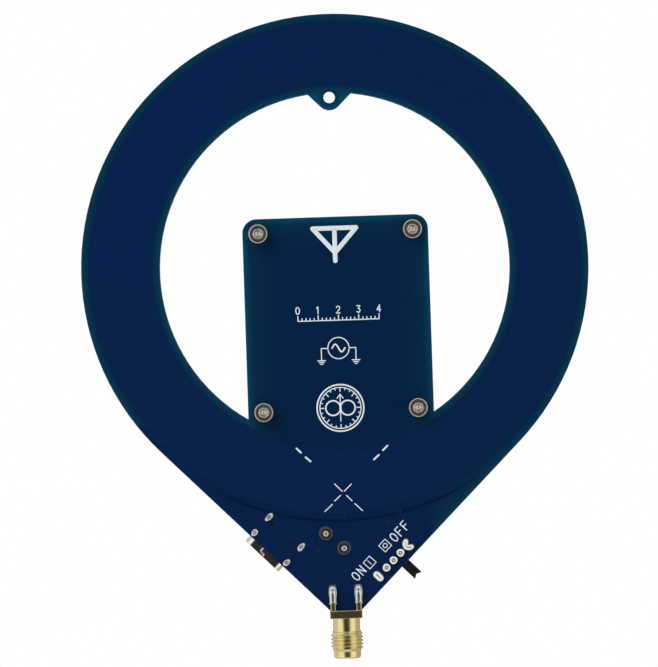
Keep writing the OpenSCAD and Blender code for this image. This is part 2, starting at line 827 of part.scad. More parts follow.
// Points of a lead's middle line: out from under the protection board, down to the board, along it
// and over into its hole in the tail. Both ends run straight.
function lead_route(start, pad) =
    let (
        soldered = [start[0], start[1] + lead_d, guard_z - lead_d / 2 - close_gap],
        from = soldered - [0, 2 * lead_d, 0],
        low = [lerp(start[0], pad[0], 0.55), lerp(start[1], pad[1], 0.55), lead_d / 2 + lead_lift],
        to = [pad[0], pad[1], lead_end_z],
        over = to + [0, 0, lead_d / 2],
        down = [from, from - [0, lead_bend, 0], low + [0, lead_bend, lead_lift], low],
        in = [low, low - [0, lead_bend, lead_lift], over + [0, 0, lead_drop], over],
        steps = 7
    )
    concat(
        [soldered],
        [for (k = [0 : steps - 1]) cubic(down, k / steps)],
        [for (k = [0 : steps]) cubic(in, k / steps)],
        [to]
    );

// Round tube of eight sides along a list of points, which never runs along x
module swept_tube(points, d) {
    sides = 8;
    n = len(points);
    way = [for (k = [0 : n - 1]) unit(points[min(k + 1, n - 1)] - points[max(k - 1, 0)])];
    rings = [
        for (k = [0 : n - 1])
        let (across = unit([1, 0, 0] - way[k][0] * way[k]), up = cross(way[k], across))
        for (s = [0 : sides - 1])
        points[k] + d / 2 * (cos(s * 360 / sides) * across + sin(s * 360 / sides) * up)
    ];
    walls = [
        for (k = [0 : n - 2])
        for (s = [0 : sides - 1])
        let (a = k * sides + s, b = k * sides + (s + 1) % sides)
        each [[a, a + sides, b], [b, a + sides, b + sides]]
    ];
    low_end = [for (s = [1 : sides - 2]) [0, s, s + 1]];
    top = (n - 1) * sides;
    high_end = [for (s = [1 : sides - 2]) [top, top + s + 1, top + s]];
    polyhedron(rings, concat(walls, low_end, high_end));
}

module battery_lead_positive() {
    color("red") parts_side() swept_tube(lead_route(lead_starts[0], lead_pads[0]), lead_d);
}

module battery_lead_negative() {
    color("black") parts_side() swept_tube(lead_route(lead_starts[1], lead_pads[1]), lead_d);
}

// Each joint fills its hole, stands as a clipped cone on the soldered side and wets the lead's end
module battery_lead_solder() {
    color("gray")
    for (p = lead_pads)
        parts_side() translate(p) {
            translate([0, 0, -board_t]) cylinder(d = lead_hole_d, h = board_t + lead_end_z - close_gap);
            cylinder(r1 = lead_fillet_r, r2 = lead_tip_r, h = lead_fillet_h);
            mirror([0, 0, 1]) translate([0, 0, board_t])
                cylinder(r1 = lead_cone_r, r2 = lead_tip_r, h = lead_cone_h);
        }
}

module cover_plate() {
    color("midnightblue")
    parts_side() translate([0, 0, standoff_len]) linear_extrude(cover_t) difference() {
        translate([tongue_shift, cover_bottom + cover_h / 2]) rounded_outline(tongue_w, cover_h, corner_r);
        for (p = screw_holes) translate(p) circle(d = screw_hole_d);
    }
}

module standoffs() {
    color("goldenrod")
    parts_side()
        for (p = screw_holes) translate(p)
            difference() {
                cylinder(r = standoff_r, h = standoff_len, $fn = 6);
                translate([0, 0, -past]) cylinder(d = screw_d + 2 * run_gap, h = standoff_len + 2 * past);
            }
}

// Socket-head screw: the head stands up from z = 0 and the shank hangs below it
module socket_screw() {
    difference() {
        union() {
            cylinder(d = head_d, h = head_h);
            translate([0, 0, -screw_len]) cylinder(d = screw_d, h = screw_len + head_h / 2);
        }
        translate([0, 0, head_h - hex_depth])
            cylinder(d = hex_af / cos(30), h = hex_depth + past, $fn = 6);
    }
}

module rear_screws() {
    color("dimgray") solder_side() for (p = screw_holes) translate(p) socket_screw();
}

module cover_screws() {
    color("dimgray")
    parts_side() translate([0, 0, standoff_len + cover_t])
        for (p = screw_holes) translate(p) socket_screw();
}

// Places a small part on the parts side, up from the board's cut end
module on_tail(at, turn = 0) {
    parts_side() translate([at[0], neck_y + at[1], 0]) rotate(turn) children();
}

// Row of bent leads on both sides of a chip
module bent_leads(body_w, span, count, pitch, lead_w, body_h) {
    foot = 0.5;
    t = 0.2;
    knee = (span - body_w) / 2;
    for (side = [0, 1])
        for (k = [0 : count[side] - 1])
            mirror([side, 0, 0])
                translate([body_w / 2, (k - (count[side] - 1) / 2) * pitch[side] + lead_w / 2, 0])
                    rotate([90, 0, 0]) linear_extrude(lead_w) polygon([
                        [0, body_h / 2], [knee - foot, body_h / 2], [knee - foot, 0], [knee, 0], [knee, t],
                        [knee - foot + t, t], [knee - foot + t, body_h / 2 + t], [0, body_h / 2 + t]
                    ]);
}

module chip_body(w, len, h) {
    seat = 0.1;
    translate([0, 0, seat]) centred_box([w, len, h - seat]);
}

module amplifier_chip() {
    color("dimgray") on_tail(amp_at) chip_body(amp_w, amp_len, amp_h);
}

module amplifier_leads() {
    color("silver")
    on_tail(amp_at) bent_leads(amp_w, amp_span, [4, 4], [amp_pitch, amp_pitch], amp_lead_w, amp_h);
}

module charger_chip() {
    color("dimgray") on_tail(charger_at) chip_body(charger_w, charger_len, charger_h);
}

module charger_leads() {
    color("silver")
    on_tail(charger_at)
        bent_leads(charger_w, charger_span, [3, 2], [charger_pitch, 2 * charger_pitch], charger_lead_w,
            charger_h);
}

module bulk_capacitor() {
    color("orange") on_tail(bulk_at) centred_box([bulk_len, bulk_w, bulk_h]);
}

// The lamps stand in a row beside the charging socket
module charge_lamps() {
    color("palegreen")
    parts_side() at_usb()
        for (k = [0, 1])
            translate([-usb_w / 2 - lamp_aside - k * lamp_pitch, -lamp_back, 0])
                rotate(90) centred_box([small_len, small_w, small_h]);
}

module chip_resistors() {
    color("black") for (p = resistors_at) on_tail(p, p[2]) centred_box([small_len, small_w, small_h]);
}

module chip_capacitors() {
    color("tan") for (p = capacitors_at) on_tail(p, p[2]) centred_box([small_len, small_w, small_w]);
}

main_board();
rear_winding();
front_winding();
sma_shell();
sma_dielectric();
sma_contact();
sma_solder();
usb_shell();
usb_moulding();
usb_contacts();
usb_lug_solder();
switch_frame();
switch_base();
switch_terminals();
switch_wiper();
switch_slider();
switch_pin_solder();
switch_tab_solder();
battery_cell();
battery_tabs();
battery_guard_board();
battery_tape();
battery_foam();
battery_lead_positive();
battery_lead_negative();
battery_lead_solder();
cover_plate();
standoffs();
rear_screws();
cover_screws();
amplifier_chip();
amplifier_leads();
charger_chip();
charger_leads();
bulk_capacitor();
charge_lamps();
chip_resistors();
chip_capacitors();
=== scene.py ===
"""Dresses the active loop antenna: every visible piece of it gets its shape, finish and light.

Sizes are in millimetres and become metres where a mesh is made. In the board's own coordinates x runs to
the right and y up from the ring's centre, as the soldered face is looked at, and z out of the chosen face.
"""

import logging
import math
from collections.abc import Callable, Iterable, Sequence
from dataclasses import dataclass
from enum import Enum
from functools import partial, reduce

import bmesh
import bpy
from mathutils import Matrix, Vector


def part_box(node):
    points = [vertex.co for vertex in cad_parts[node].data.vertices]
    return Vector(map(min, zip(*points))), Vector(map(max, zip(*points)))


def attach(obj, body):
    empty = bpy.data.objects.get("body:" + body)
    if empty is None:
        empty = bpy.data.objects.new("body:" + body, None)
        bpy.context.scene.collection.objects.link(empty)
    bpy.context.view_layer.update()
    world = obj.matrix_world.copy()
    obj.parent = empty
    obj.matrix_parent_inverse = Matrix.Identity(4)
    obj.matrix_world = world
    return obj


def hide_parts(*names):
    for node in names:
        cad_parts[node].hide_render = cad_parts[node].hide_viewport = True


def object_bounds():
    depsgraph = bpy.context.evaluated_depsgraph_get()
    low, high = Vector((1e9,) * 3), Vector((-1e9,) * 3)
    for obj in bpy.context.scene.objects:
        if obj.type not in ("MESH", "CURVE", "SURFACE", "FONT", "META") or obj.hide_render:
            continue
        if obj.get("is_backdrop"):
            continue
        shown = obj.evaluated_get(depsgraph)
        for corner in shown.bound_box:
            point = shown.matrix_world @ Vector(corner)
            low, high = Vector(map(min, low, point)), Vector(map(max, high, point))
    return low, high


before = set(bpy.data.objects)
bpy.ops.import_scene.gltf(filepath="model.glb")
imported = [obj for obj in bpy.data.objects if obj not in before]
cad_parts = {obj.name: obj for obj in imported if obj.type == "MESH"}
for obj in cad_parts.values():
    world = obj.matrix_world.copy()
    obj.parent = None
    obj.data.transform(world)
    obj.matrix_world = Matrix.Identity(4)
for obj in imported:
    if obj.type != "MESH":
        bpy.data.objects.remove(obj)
CAD_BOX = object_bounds()

LOG = logging.getLogger("antenna")
MM = 0.001
BOARD_BODY = "antenna"
LEVER_BODY = "switch_lever"
SHARP_ANGLE = math.radians(38)

Flat = tuple[float, float]
Point = tuple[float, float, float]
Piece = bpy.types.Object
Tree = bpy.types.NodeTree
Socket = bpy.types.NodeSocket
Colour = tuple[float, float, float, float]


class Side(Enum):
    """What a seat's z runs out of."""

    SOLDER = "soldered face"
    PARTS = "parts face"
    JACK = "rim of the jack"


@dataclass(frozen=True)
class Placing:
    """Where the board stands in the frame, in millimetres."""

    ring_z: float
    parts_face: float
    solder_face: float
    ring_r: float = 50.0
    neck: float = -67.611

    @classmethod
    def read(cls) -> "Placing":
        """Takes the board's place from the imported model."""
        low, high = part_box("main_board")
        return cls(low.z / MM - cls.neck, -high.y / MM, -low.y / MM)


PLACE = Placing.read()


@dataclass(frozen=True)
class Seat:
    """Place on a face of the board, with its own x, y and z."""

    side: Side
    at: Flat = (0.0, 0.0)
    turn: float = 0.0
    lift: float = 0.0

    def world(self, point: Sequence[float]) -> Vector:
        """Turns a point of the seat into a place in the frame.

        Args:
            point: x, y and z on the seat, in millimetres.

        Returns:
            The same point in metres.
        """
        x, y, z = point[0], point[1], point[2] + self.lift
        if self.side is Side.JACK:
            return Vector((x, y, z)) * MM
        across, up = self.spot(x, y)
        depth = z - PLACE.parts_face if self.side is Side.PARTS else -PLACE.solder_face - z
        return Vector((across, depth, PLACE.ring_z + up)) * MM

    def spot(self, x: float, y: float) -> Flat:
        """Place on the face of x and y on the seat."""
        c, s = math.cos(math.radians(self.turn)), math.sin(math.radians(self.turn))
        return self.at[0] + x * c - y * s, self.at[1] + x * s + y * c

    def moved(self, x: float, y: float, turn: float = 0.0, lift: float = 0.0) -> "Seat":
        """Seat at x, y of this one, turned and lifted further."""
        return Seat(self.side, self.spot(x, y), self.turn + turn, self.lift + lift)


def behind(seat: Seat) -> Seat:
    """Seat on the soldered face, at the same place as one on the parts face."""
    return Seat(Side.SOLDER, seat.at, seat.turn)


def on_tail(at: Sequence[float], turn: float = 0.0) -> Seat:
    """Seat on the parts face of the tail, measured up from the board's cut end."""
    return Seat(Side.PARTS, (at[0], PLACE.neck + at[1]), turn)


SOLDER = Seat(Side.SOLDER)
PARTS = Seat(Side.PARTS)
JACK = Seat(Side.JACK)
# Places that more than one sub-assembly needs.
USB_SEAT = PARTS.moved(*Seat(Side.PARTS, turn=135).moved(-28.5, 51.5).at, turn=135)
SWITCH_SEAT = PARTS.moved(*Seat(Side.PARTS, turn=-135).moved(34.2, 47.85).at, turn=-135)
LEAD_PADS = ((-3.5, PLACE.neck + 15.3), (0.0, PLACE.neck + 12.3))
SCREW_HOLES = tuple((x, y) for x in (-14.9, 15.5) for y in (7.05, -28.1))
COVER_TOP = 9.6
AMPLIFIER_AT = (-0.6, 8.0)
CHARGER_AT = (-6.2, 9.4)
BULK_AT = (5.3, 15.0)


def linear(code: str) -> Colour:
    """Linear colour of an sRGB hex code.

    Args:
        code: The colour as #rrggbb.

    Returns:
        Red, green, blue and an alpha of 1.
    """
    shares = [int(code[k : k + 2], 16) / 255 for k in (1, 3, 5)]
    red, green, blue = (c / 12.92 if c <= 0.04045 else ((c + 0.055) / 1.055) ** 2.4 for c in shares)
    return red, green, blue, 1.0


def add(tree: Tree, kind: str, inputs: dict | None = None, **settings: object) -> Socket:
    """Adds a node with its settings and links.

    Args:
        tree: The node tree that it goes into.
        kind: The node's Blender type.
        inputs: Value or socket for each input, by name or number.
        settings: The node's own properties.

    Returns:
        The node's first output in use, or its first input where it has no output.
    """
    node = tree.nodes.new(kind)
    for name, value in settings.items():
        setattr(node, name, value)
    for key, value in (inputs or {}).items():
        usable = [s for s in node.inputs if s.enabled]
        socket = usable[key] if isinstance(key, int) else next(s for s in usable if s.name == key)
        if isinstance(value, Socket):
            tree.links.new(value, socket)
        else:
            socket.default_value = value
    return next((s for s in node.outputs if s.enabled), None) or node.inputs[0]


def emptied(owner: bpy.types.Material | bpy.types.World) -> Tree:
    """Node tree of a material or a world, with nothing in it."""
    owner.use_nodes = True
    owner.node_tree.nodes.clear()
    return owner.node_tree


def maths(tree: Tree, operation: str, *values: Socket | float) -> Socket:
    """Result of a Math node."""
    return add(tree, "ShaderNodeMath", dict(enumerate(values)), operation=operation)


def vectors(tree: Tree, operation: str, *values: Socket | Point | float) -> Socket:
    """Result of a Vector Math node."""
    return add(tree, "ShaderNodeVectorMath", dict(enumerate(values)), operation=operation)


def ramp(tree: Tree, value: Socket, start: float, end: float, to: Flat = (0.0, 1.0),
         smooth: bool = False) -> Socket:
    """Number that runs between the two of to while the value runs from start to end."""
    inputs = {"Value": value, "From Min": start, "From Max": end, "To Min": to[0], "To Max": to[1]}
    return add(tree, "ShaderNodeMapRange", inputs, interpolation_type="SMOOTHSTEP" if smooth else "LINEAR")


def blend(tree: Tree, share: Socket, start: Socket | Colour, end: Socket | Colour) -> Socket:
    """Colour between start and end."""
    return add(tree, "ShaderNodeMix", {"Factor": share, "A": start, "B": end}, data_type="RGBA")


def whichever(tree: Tree, operation: str, values: Iterable[Socket]) -> Socket:
    """Least or greatest of several values, by MINIMUM or MAXIMUM."""
    return reduce(lambda first, second: maths(tree, operation, first, second), values)


class Pattern(Enum):
    """What a layer of fine detail follows."""

    GRAIN = "ShaderNodeTexNoise"
    CELLS = "ShaderNodeTexVoronoi"
    LINES = "ShaderNodeTexWave"


@dataclass(frozen=True)
class Grain:
    """Layer of fine detail: pitch and relief in millimetres, tint and rough as shares."""

    pitch: float
    tint: float = 0.0
    relief: float = 0.0
    rough: float = 0.0
    stretch: Point = (1.0, 1.0, 1.0)
    pattern: Pattern = Pattern.GRAIN


@dataclass(frozen=True)
class Finish:
    """A real material with the way its surface was made."""

    name: str
    slot: str | None
    colour: str
    roughness: float
    metallic: float = 0.0
    hollow: str = "#000000"
    coat: float = 0.0
    ior: float = 1.5
    grains: tuple[Grain, ...] = ()

    def colour_of(self, tree: Tree, spot: Socket) -> Socket | Colour:
        """Base colour before the grains' tint."""
        return linear(self.colour)

    def material(self) -> bpy.types.Material:
        """Builds the material once, and hands out the same one afterwards."""
        known = bpy.data.materials.get(self.name)
        if known:
            return known
        made = bpy.data.materials.new(self.name)
        tree = emptied(made)
        spot = vectors(tree, "SCALE", add(tree, "ShaderNodeTexCoord").node.outputs["Object"], 1 / MM)
        inputs: dict = {"Metallic": self.metallic} | ({} if self.metallic else {"IOR": self.ior})
        if self.coat:
            inputs |= {"Coat Weight": self.coat, "Coat Roughness": 0.08}
        colour, rough, height = self.colour_of(tree, spot), self.roughness, 0.0
        for grain in self.grains:
            stretched = vectors(tree, "MULTIPLY", spot, grain.stretch)
            kind = {"wave_type": "BANDS"} if grain.pattern is Pattern.LINES else {}
            wave = add(tree, grain.pattern.value, {"Vector": stretched, "Scale": 1 / grain.pitch}, **kind)
            if grain.tint:
                colour = blend(tree, maths(tree, "MULTIPLY", wave, grain.tint), colour, linear(self.hollow))
            if grain.rough:
                rough = maths(tree, "MULTIPLY_ADD", wave, grain.rough, rough)
            if grain.relief:
                height = maths(tree, "MULTIPLY_ADD", wave, grain.relief * MM, height)
        inputs |= {"Base Color": colour, "Roughness": rough}
        if height:
            bump = {"Height": height, "Strength": 1.0, "Distance": 1.0}
            inputs["Normal"] = add(tree, "ShaderNodeBump", bump)
        add(tree, "ShaderNodeOutputMaterial", {"Surface": add(tree, "ShaderNodeBsdfPrincipled", inputs)})
        return made


@dataclass(frozen=True)
class MaskedLaminate(Finish):
    """Blue solder mask over glass-epoxy: navy over copper, greener over laminate, and teal painted light near
    the cut edges.

    The thin glossy mask hides the copper; the light that would shine through the bare laminate along every
    edge is painted into its colour.
    """

    bare: str = "#022145"
    # The next two colours are painted light: the teal that light from behind would give the laminate near its
    # cut edges.
    glow: str = "#04425e"
    haze: str = "#042c46"
    gap: str = "#02163a"
    edge: str = "#9c9462"
    edge_dark: str = "#5c5836"
    hole_r: float = 34.5
    ring_start: Flat = (33.6, 34.6)
    copper: Flat = (35.9, 48.5)
    copper_edge: Flat = (-0.4, 0.3)
    gap_r: float = 49.9
    gap_edge: Flat = (0.5, 0.1)
    gap_depth: Flat = (1.0, 3.0)
    tail_top: float = -30.0
    tail_right: float = 17.4
    tongue: tuple[float, float, float, float] = (-18.0, 18.6, -42.0, 10.0)
    ear: Point = (0.0, 33.55, 2.5)
    rim: Flat = (40.0, 47.0)
    # Reach and strength of the painted edge light on the ring and the tongue, and the reach of its wider,
    # fainter part.
    glow_reach: float = 2.0
    ring_glow: Flat = (0.68, 0.46)
    # Painted light from above: the tongue's painted edge light grows from bottom to top.
    tongue_glow: Flat = (0.8, 1.35)
    haze_reach: float = 7.0
    layers: Point = (0.5, 7.0, 0.5)

    def inside(self, tree: Tree, flat: Socket, walls: Iterable[tuple[Point, float]]) -> Socket:
        """Least depth of a spot behind walls that are given by outward normal and reach."""
        depths = [maths(tree, "SUBTRACT", reach, vectors(tree, "DOT_PRODUCT", flat, normal))
                  for normal, reach in walls]
        return whichever(tree, "MINIMUM", depths)

    def laminate(self, tree: Tree, flat: Socket, radius: Socket, tail: Socket) -> Socket:
        """Colour of the mask over bare laminate, with painted light that lightens it towards every cut edge,
        more strongly higher up the tongue.

        Args:
            tree: The material's node tree.
            flat: The spot from the ring's centre, in the board's plane.
            radius: Its distance from there.
            tail: Its depth inside the tail.

        Returns:
            The colour.
        """
        left, right, low, high = self.tongue
        tongue = self.inside(tree, flat, [((1, 0, 0), right), ((-1, 0, 0), -left), ((0, 0, 1), high),
                                          ((0, 0, -1), -low)])
        x, y, reach = self.ear
        ear = maths(tree, "SUBTRACT", reach, vectors(tree, "DISTANCE", flat, (x, 0, y)))
        ring = whichever(tree, "MINIMUM", [maths(tree, "SUBTRACT", PLACE.ring_r, radius),
                                           maths(tree, "SUBTRACT", radius, self.hole_r)])
        depth = whichever(tree, "MAXIMUM", [ring, tail, tongue, ear])
        up = add(tree, "ShaderNodeSeparateXYZ", {0: flat}).node.outputs["Z"]
        off_tongue = maths(tree, "LESS_THAN", tongue, 0.0)
        on_ring = maths(tree, "MULTIPLY", ramp(tree, radius, *self.ring_start), off_tongue)
        on_rim = ramp(tree, radius, *self.rim, self.ring_glow)
        # Painted light from above: the painted edge light grows stronger higher up the tongue.
        painted_light_by_height = ramp(tree, up, low, high, self.tongue_glow)
        strength = add(tree, "ShaderNodeMix", {"Factor": on_ring, "A": painted_light_by_height, "B": on_rim})
        # Painted light: lighter and more teal towards every cut edge, as if lit from behind through the
        # laminate.
        glow = maths(tree, "POWER", ramp(tree, depth, 0.0, self.glow_reach, (1.0, 0.0)), 2.0)
        haze = ramp(tree, depth, 0.0, self.haze_reach, (1.0, 0.0))
        colour = blend(tree, haze, linear(self.bare), linear(self.haze))
        return blend(tree, maths(tree, "MULTIPLY", glow, strength), colour, linear(self.glow))

    def colour_of(self, tree: Tree, spot: Socket) -> Socket:
        """Mask over copper or laminate by place, and the bare fibre on the cut edges."""
        flat = vectors(tree, "MULTIPLY_ADD", spot, (1, 0, 1), (0, 0, -PLACE.ring_z))
        radius = vectors(tree, "LENGTH", flat)
        half = math.sqrt(0.5)
        sides = [((half, 0, -half), PLACE.ring_r), ((-half, 0, -half), PLACE.ring_r),
                 ((0, 0, 1), self.tail_top)]
        tail = self.inside(tree, flat, sides + [((0, 0, -1), -PLACE.neck)])
        low, high = self.copper
        off_band = maths(tree, "ABSOLUTE", maths(tree, "SUBTRACT", radius, (low + high) / 2))
        band = maths(tree, "SUBTRACT", (high - low) / 2, off_band)
        pour = self.inside(tree, flat, sides + [((0.3, 0, 0), 0.3 * self.tail_right)])
        pour = maths(tree, "MINIMUM", pour, maths(tree, "SUBTRACT", radius, high))
        copper = ramp(tree, maths(tree, "MAXIMUM", pour, band), *self.copper_edge, smooth=True)
        off_gap = maths(tree, "ABSOLUTE", maths(tree, "SUBTRACT", radius, self.gap_r))
        between = maths(tree, "MULTIPLY", ramp(tree, off_gap, *self.gap_edge, smooth=True),
                        ramp(tree, tail, *self.gap_depth))
        # Over laminate the colour carries the painted edge light.
        face = blend(tree, copper, self.laminate(tree, flat, radius, tail), linear(self.colour))
        face = blend(tree, between, face, linear(self.gap))
        normal = add(tree, "ShaderNodeNewGeometry").node.outputs["Normal"]
        level = maths(tree, "ABSOLUTE", vectors(tree, "DOT_PRODUCT", normal, (0, 1, 0)))
        layers = vectors(tree, "MULTIPLY", spot, self.layers)
        layers = add(tree, "ShaderNodeTexNoise", {"Vector": layers, "Scale": 1.0, "Detail": 3.0})
        fibre = blend(tree, layers, linear(self.edge_dark), linear(self.edge))
        return blend(tree, maths(tree, "LESS_THAN", level, 0.5), face, fibre)


# Liquid photo-imaged solder mask, cured glossy. Its slight orange peel breaks up the lamps' reflections.
MASK = MaskedLaminate(
    "solder_mask_on_glass_epoxy", "blue_board", "#042048", 0.14,
    grains=(Grain(1.6, relief=0.0006, rough=0.05), Grain(24.0, tint=0.1)),
    hollow="#03142e", ior=1.4)
# Copper track under the same mask: the copper lifts the blue a little, and its shoulders catch the light.
TRACK = Finish("masked_copper_track", "masked_track", "#06224d", 0.14, ior=1.4,
               grains=(Grain(1.6, relief=0.0006, rough=0.05),))
# Mask sagging into a plated hole, darker where no light comes back.
COVERED_HOLE = Finish("mask_over_plated_hole", "masked_track", "#031a38", 0.16, hollow="#0c1a1c",
                      grains=(Grain(0.5, tint=0.6, rough=0.05),))
# Screen-printed epoxy ink, matt with a slightly broken surface.
INK = Finish("screen_printed_ink", None, "#dde5e6", 0.62, hollow="#a9b9c4",
             grains=(Grain(0.25, tint=0.3, relief=0.006),))
# Electroplated gold over turned brass: pale, mirror-like, with faint tool rings.
GOLD_PLATE = Finish("gold_plated_turned_brass", "gold_plate", "#f2e2a8", 0.23, 1.0, hollow="#d2bb7c",
                    grains=(Grain(0.9, relief=0.0012, stretch=(0.0, 0.0, 1.0), pattern=Pattern.LINES),
                            Grain(1.1, tint=0.35, rough=0.1)))
# Bronze with a flash of gold: yellower and a little duller than the plated brass.
CONTACT_GOLD = Finish("gold_flashed_bronze", "contact_gold", "#e2bf74", 0.24, 1.0, hollow="#b38b45",
                      grains=(Grain(0.5, tint=0.3, rough=0.12),))
# Hand-soldered tin: bright, wavy, with a fine frosting where it set last.
SOLDER_TIN = Finish("hand_soldered_tin", "solder", "#f4f4f0", 0.24, 0.94, hollow="#b4b5ae",
                    grains=(Grain(0.55, tint=0.22, relief=0.01, rough=0.12),
                            Grain(0.16, relief=0.002, pattern=Pattern.CELLS)))
# Tin under a film of burnt rosin flux: grey-brown and glassy.
FLUXED_TIN = Finish("flux_covered_tin", "fluxed_solder", "#2f3029", 0.24, 0.45, coat=0.4, hollow="#1b1a14",
                    grains=(Grain(0.7, tint=0.6, relief=0.012, rough=0.15),))
# Cold-rolled stainless sheet, stamped and bent, with fine rolling lines along it.
STAINLESS = Finish("rolled_stainless_sheet", "stainless", "#f0eae0", 0.13, 1.0, hollow="#c4bab0",
                   grains=(Grain(0.6, tint=0.25, relief=0.0003, rough=0.07,
                                 stretch=(1.0, 6.0, 1.0)),))
# Nickel plate on mild steel strip: warmer and softer than the stainless.
NICKEL = Finish("nickel_plated_steel_strip", "nickel_steel", "#c4c0b6", 0.28, 1.0, hollow="#8a8478",
                grains=(Grain(0.5, tint=0.35, relief=0.001, rough=0.14),))
# Matt tin on formed copper leads.
TINNED = Finish("matt_tinned_copper", "tinned_lead", "#cfd0cc", 0.38, 1.0, hollow="#9a9a94",
                grains=(Grain(0.3, tint=0.4, rough=0.12),))
# Turned brass bar, unplated.
BRASS = Finish("turned_brass", "brass", "#dcbf78", 0.26, 1.0, hollow="#a5823c",
               grains=(Grain(0.6, tint=0.4, rough=0.14),
                       Grain(0.3, relief=0.0015, stretch=(0.0, 1.0, 0.0), pattern=Pattern.LINES)))
# Cold-headed alloy steel with nickel plate: brown-grey in the shade, white where it is bevelled.
SCREW_STEEL = Finish("plated_alloy_steel_screw", "screw_steel", "#d6ccc0", 0.27, 1.0, hollow="#94877a",
                     grains=(Grain(0.4, tint=0.35, relief=0.002, rough=0.12),))
# Glass-filled thermoplastic from a spark-eroded mould: satin black with a fine grain.
BLACK_MOULDING = Finish("black_glass_filled_nylon", "black_moulding", "#070708", 0.45, hollow="#121214",
                        grains=(Grain(0.12, tint=0.5, relief=0.003, rough=0.1, pattern=Pattern.CELLS),))
# Pressed phenolic: brown, a little mottled by its filler.
BROWN_MOULDING = Finish("pressed_phenolic", "brown_moulding", "#5a3a22", 0.4, hollow="#3a2313",
                        grains=(Grain(0.4, tint=0.5, relief=0.002, rough=0.1),))
# Fluoropolymer turned from rod: waxy white.
FLUOROPOLYMER = Finish("turned_fluoropolymer", "white_sleeve", "#e9e7df", 0.45, ior=1.36, hollow="#cfccc0",
                       grains=(Grain(0.5, tint=0.3, rough=0.1),))
# Nylon-faced aluminium laminate, deep-drawn and folded: silvery, soft-edged and slightly crinkled.
POUCH_FOIL = Finish("laminated_aluminium_foil", "pouch_foil", "#d6d9db", 0.42, 0.9, hollow="#a3a7aa",
                    grains=(Grain(3.0, relief=0.05, rough=0.1),
                            Grain(0.5, tint=0.3, relief=0.003)))
# Green mask on the thin protection board.
GREEN_MASK = Finish("green_solder_mask", "guard_board", "#12502c", 0.3, hollow="#0a3a1e",
                    grains=(Grain(0.8, tint=0.5, relief=0.002),))
# Amber polyimide film: it shows what it is wound over through its own colour.
POLYIMIDE = Finish("amber_polyimide_film", "polyimide", "#c47a12", 0.22, coat=0.4, hollow="#8a4d08",
                   grains=(Grain(2.4, tint=0.5, relief=0.02),))
# Closed-cell foam tape, cut with a blade: matt white with small cells.
FOAM = Finish("closed_cell_foam", "foam", "#dfdfd9", 0.85, hollow="#a8a8a0",
              grains=(Grain(0.18, tint=0.5, relief=0.03, pattern=Pattern.CELLS),))
# Soft silicone over stranded wire, red and black: matt, with a faint drag from extrusion.
RED_SILICONE = Finish("red_silicone_insulation", "red_insulation", "#b01815", 0.45, hollow="#7c0e0c",
                      grains=(Grain(0.6, tint=0.4, relief=0.004),))
BLACK_SILICONE = Finish("black_silicone_insulation", "black_insulation", "#131314", 0.45, hollow="#242426",
                        grains=(Grain(0.6, tint=0.4, relief=0.004),))
# Transfer-moulded epoxy of a chip: dark grey, finely sand-like.
CHIP_EPOXY = Finish("moulded_chip_epoxy", "chip_epoxy", "#1d1e20", 0.55, hollow="#2e3033",
                    grains=(Grain(0.09, tint=0.6, relief=0.003, pattern=Pattern.CELLS),))
# Yellow moulding compound of the bulk capacitor, and the darker bar that marks its positive end.
TANTALUM_CASE = Finish("yellow_moulded_epoxy", "tantalum", "#d79a35", 0.4, hollow="#b97b22",
                       grains=(Grain(0.3, tint=0.4, relief=0.003),))
POLARITY_BAR = Finish("laser_darkened_epoxy", "tantalum", "#6b4318", 0.5, hollow="#4f300f",
                      grains=(Grain(0.2, tint=0.5),))
# Clear resin over a pale phosphor.
LAMP_RESIN = Finish("phosphor_under_resin", "lamp_resin", "#dfe8a6", 0.15, coat=0.6, hollow="#bccb78",
                    grains=(Grain(0.4, tint=0.4),))
# Fired alumina of resistors and lamps, black overglaze on it, and the tan body of a capacitor.
ALUMINA = Finish("fired_alumina", "resistor_film", "#e2e0d8", 0.5, hollow="#c8c5ba",
                 grains=(Grain(0.15, tint=0.4),))
OVERGLAZE = Finish("black_overglaze", "resistor_film", "#121315", 0.25, hollow="#202226",
                   grains=(Grain(0.3, tint=0.4, relief=0.002),))
CERAMIC = Finish("fired_capacitor_ceramic", "ceramic", "#a98560", 0.5, hollow="#8a6848",
                 grains=(Grain(0.15, tint=0.5, relief=0.002),))
# Bare tinned pad on the board, flat and bright.
PAD_TIN = Finish("levelled_tin_pad", "solder", "#d8d9d6", 0.26, 1.0, hollow="#b0b0aa",
                 grains=(Grain(0.5, tint=0.3, relief=0.006, rough=0.1),))


def circle(radius: float | Callable[[float], float], sides: int = 40, centre: Flat = (0.0, 0.0),
           size: Flat = (1.0, 1.0)) -> list[Flat]:
    """Points round a centre, starting at its right.

    Args:
        radius: The radius, or a function that gives it for each angle.
        sides: How many points there are.
        centre: The centre.
        size: Stretch along x and y.

    Returns:
        The points, anticlockwise.
    """
    points = []
    for k in range(sides):
        a = 2 * math.pi * k / sides
        r = radius(a) if callable(radius) else radius
        points.append((centre[0] + size[0] * r * math.cos(a), centre[1] + size[1] * r * math.sin(a)))
    return points


def raised(outline: Iterable[Flat], z: float) -> list[Point]:
    """Outline at a height."""
    return [(x, y, z) for x, y in outline]


def upright(outline: Iterable[Flat], y: float, centre: Flat = (0.0, 0.0)) -> list[Point]:
    """Outline that stands across y, about a centre in x and z."""
    return [(centre[0] + x, y, centre[1] + z) for x, z in outline]


def mirrored(flank: Sequence[Flat]) -> list[Flat]:
    """Outline whose right flank, from the foot up, is repeated on the left: left foot to right foot."""
    return [(-x, y) for x, y in flank] + list(flank[::-1])


def rectangle(width: float, height: float, centre: Flat = (0.0, 0.0)) -> list[Flat]:
    """Corners of a rectangle, anticlockwise."""
    (x, y), w, h = centre, width / 2, height / 2
    return [(x - w, y - h), (x + w, y - h), (x + w, y + h), (x - w, y + h)]


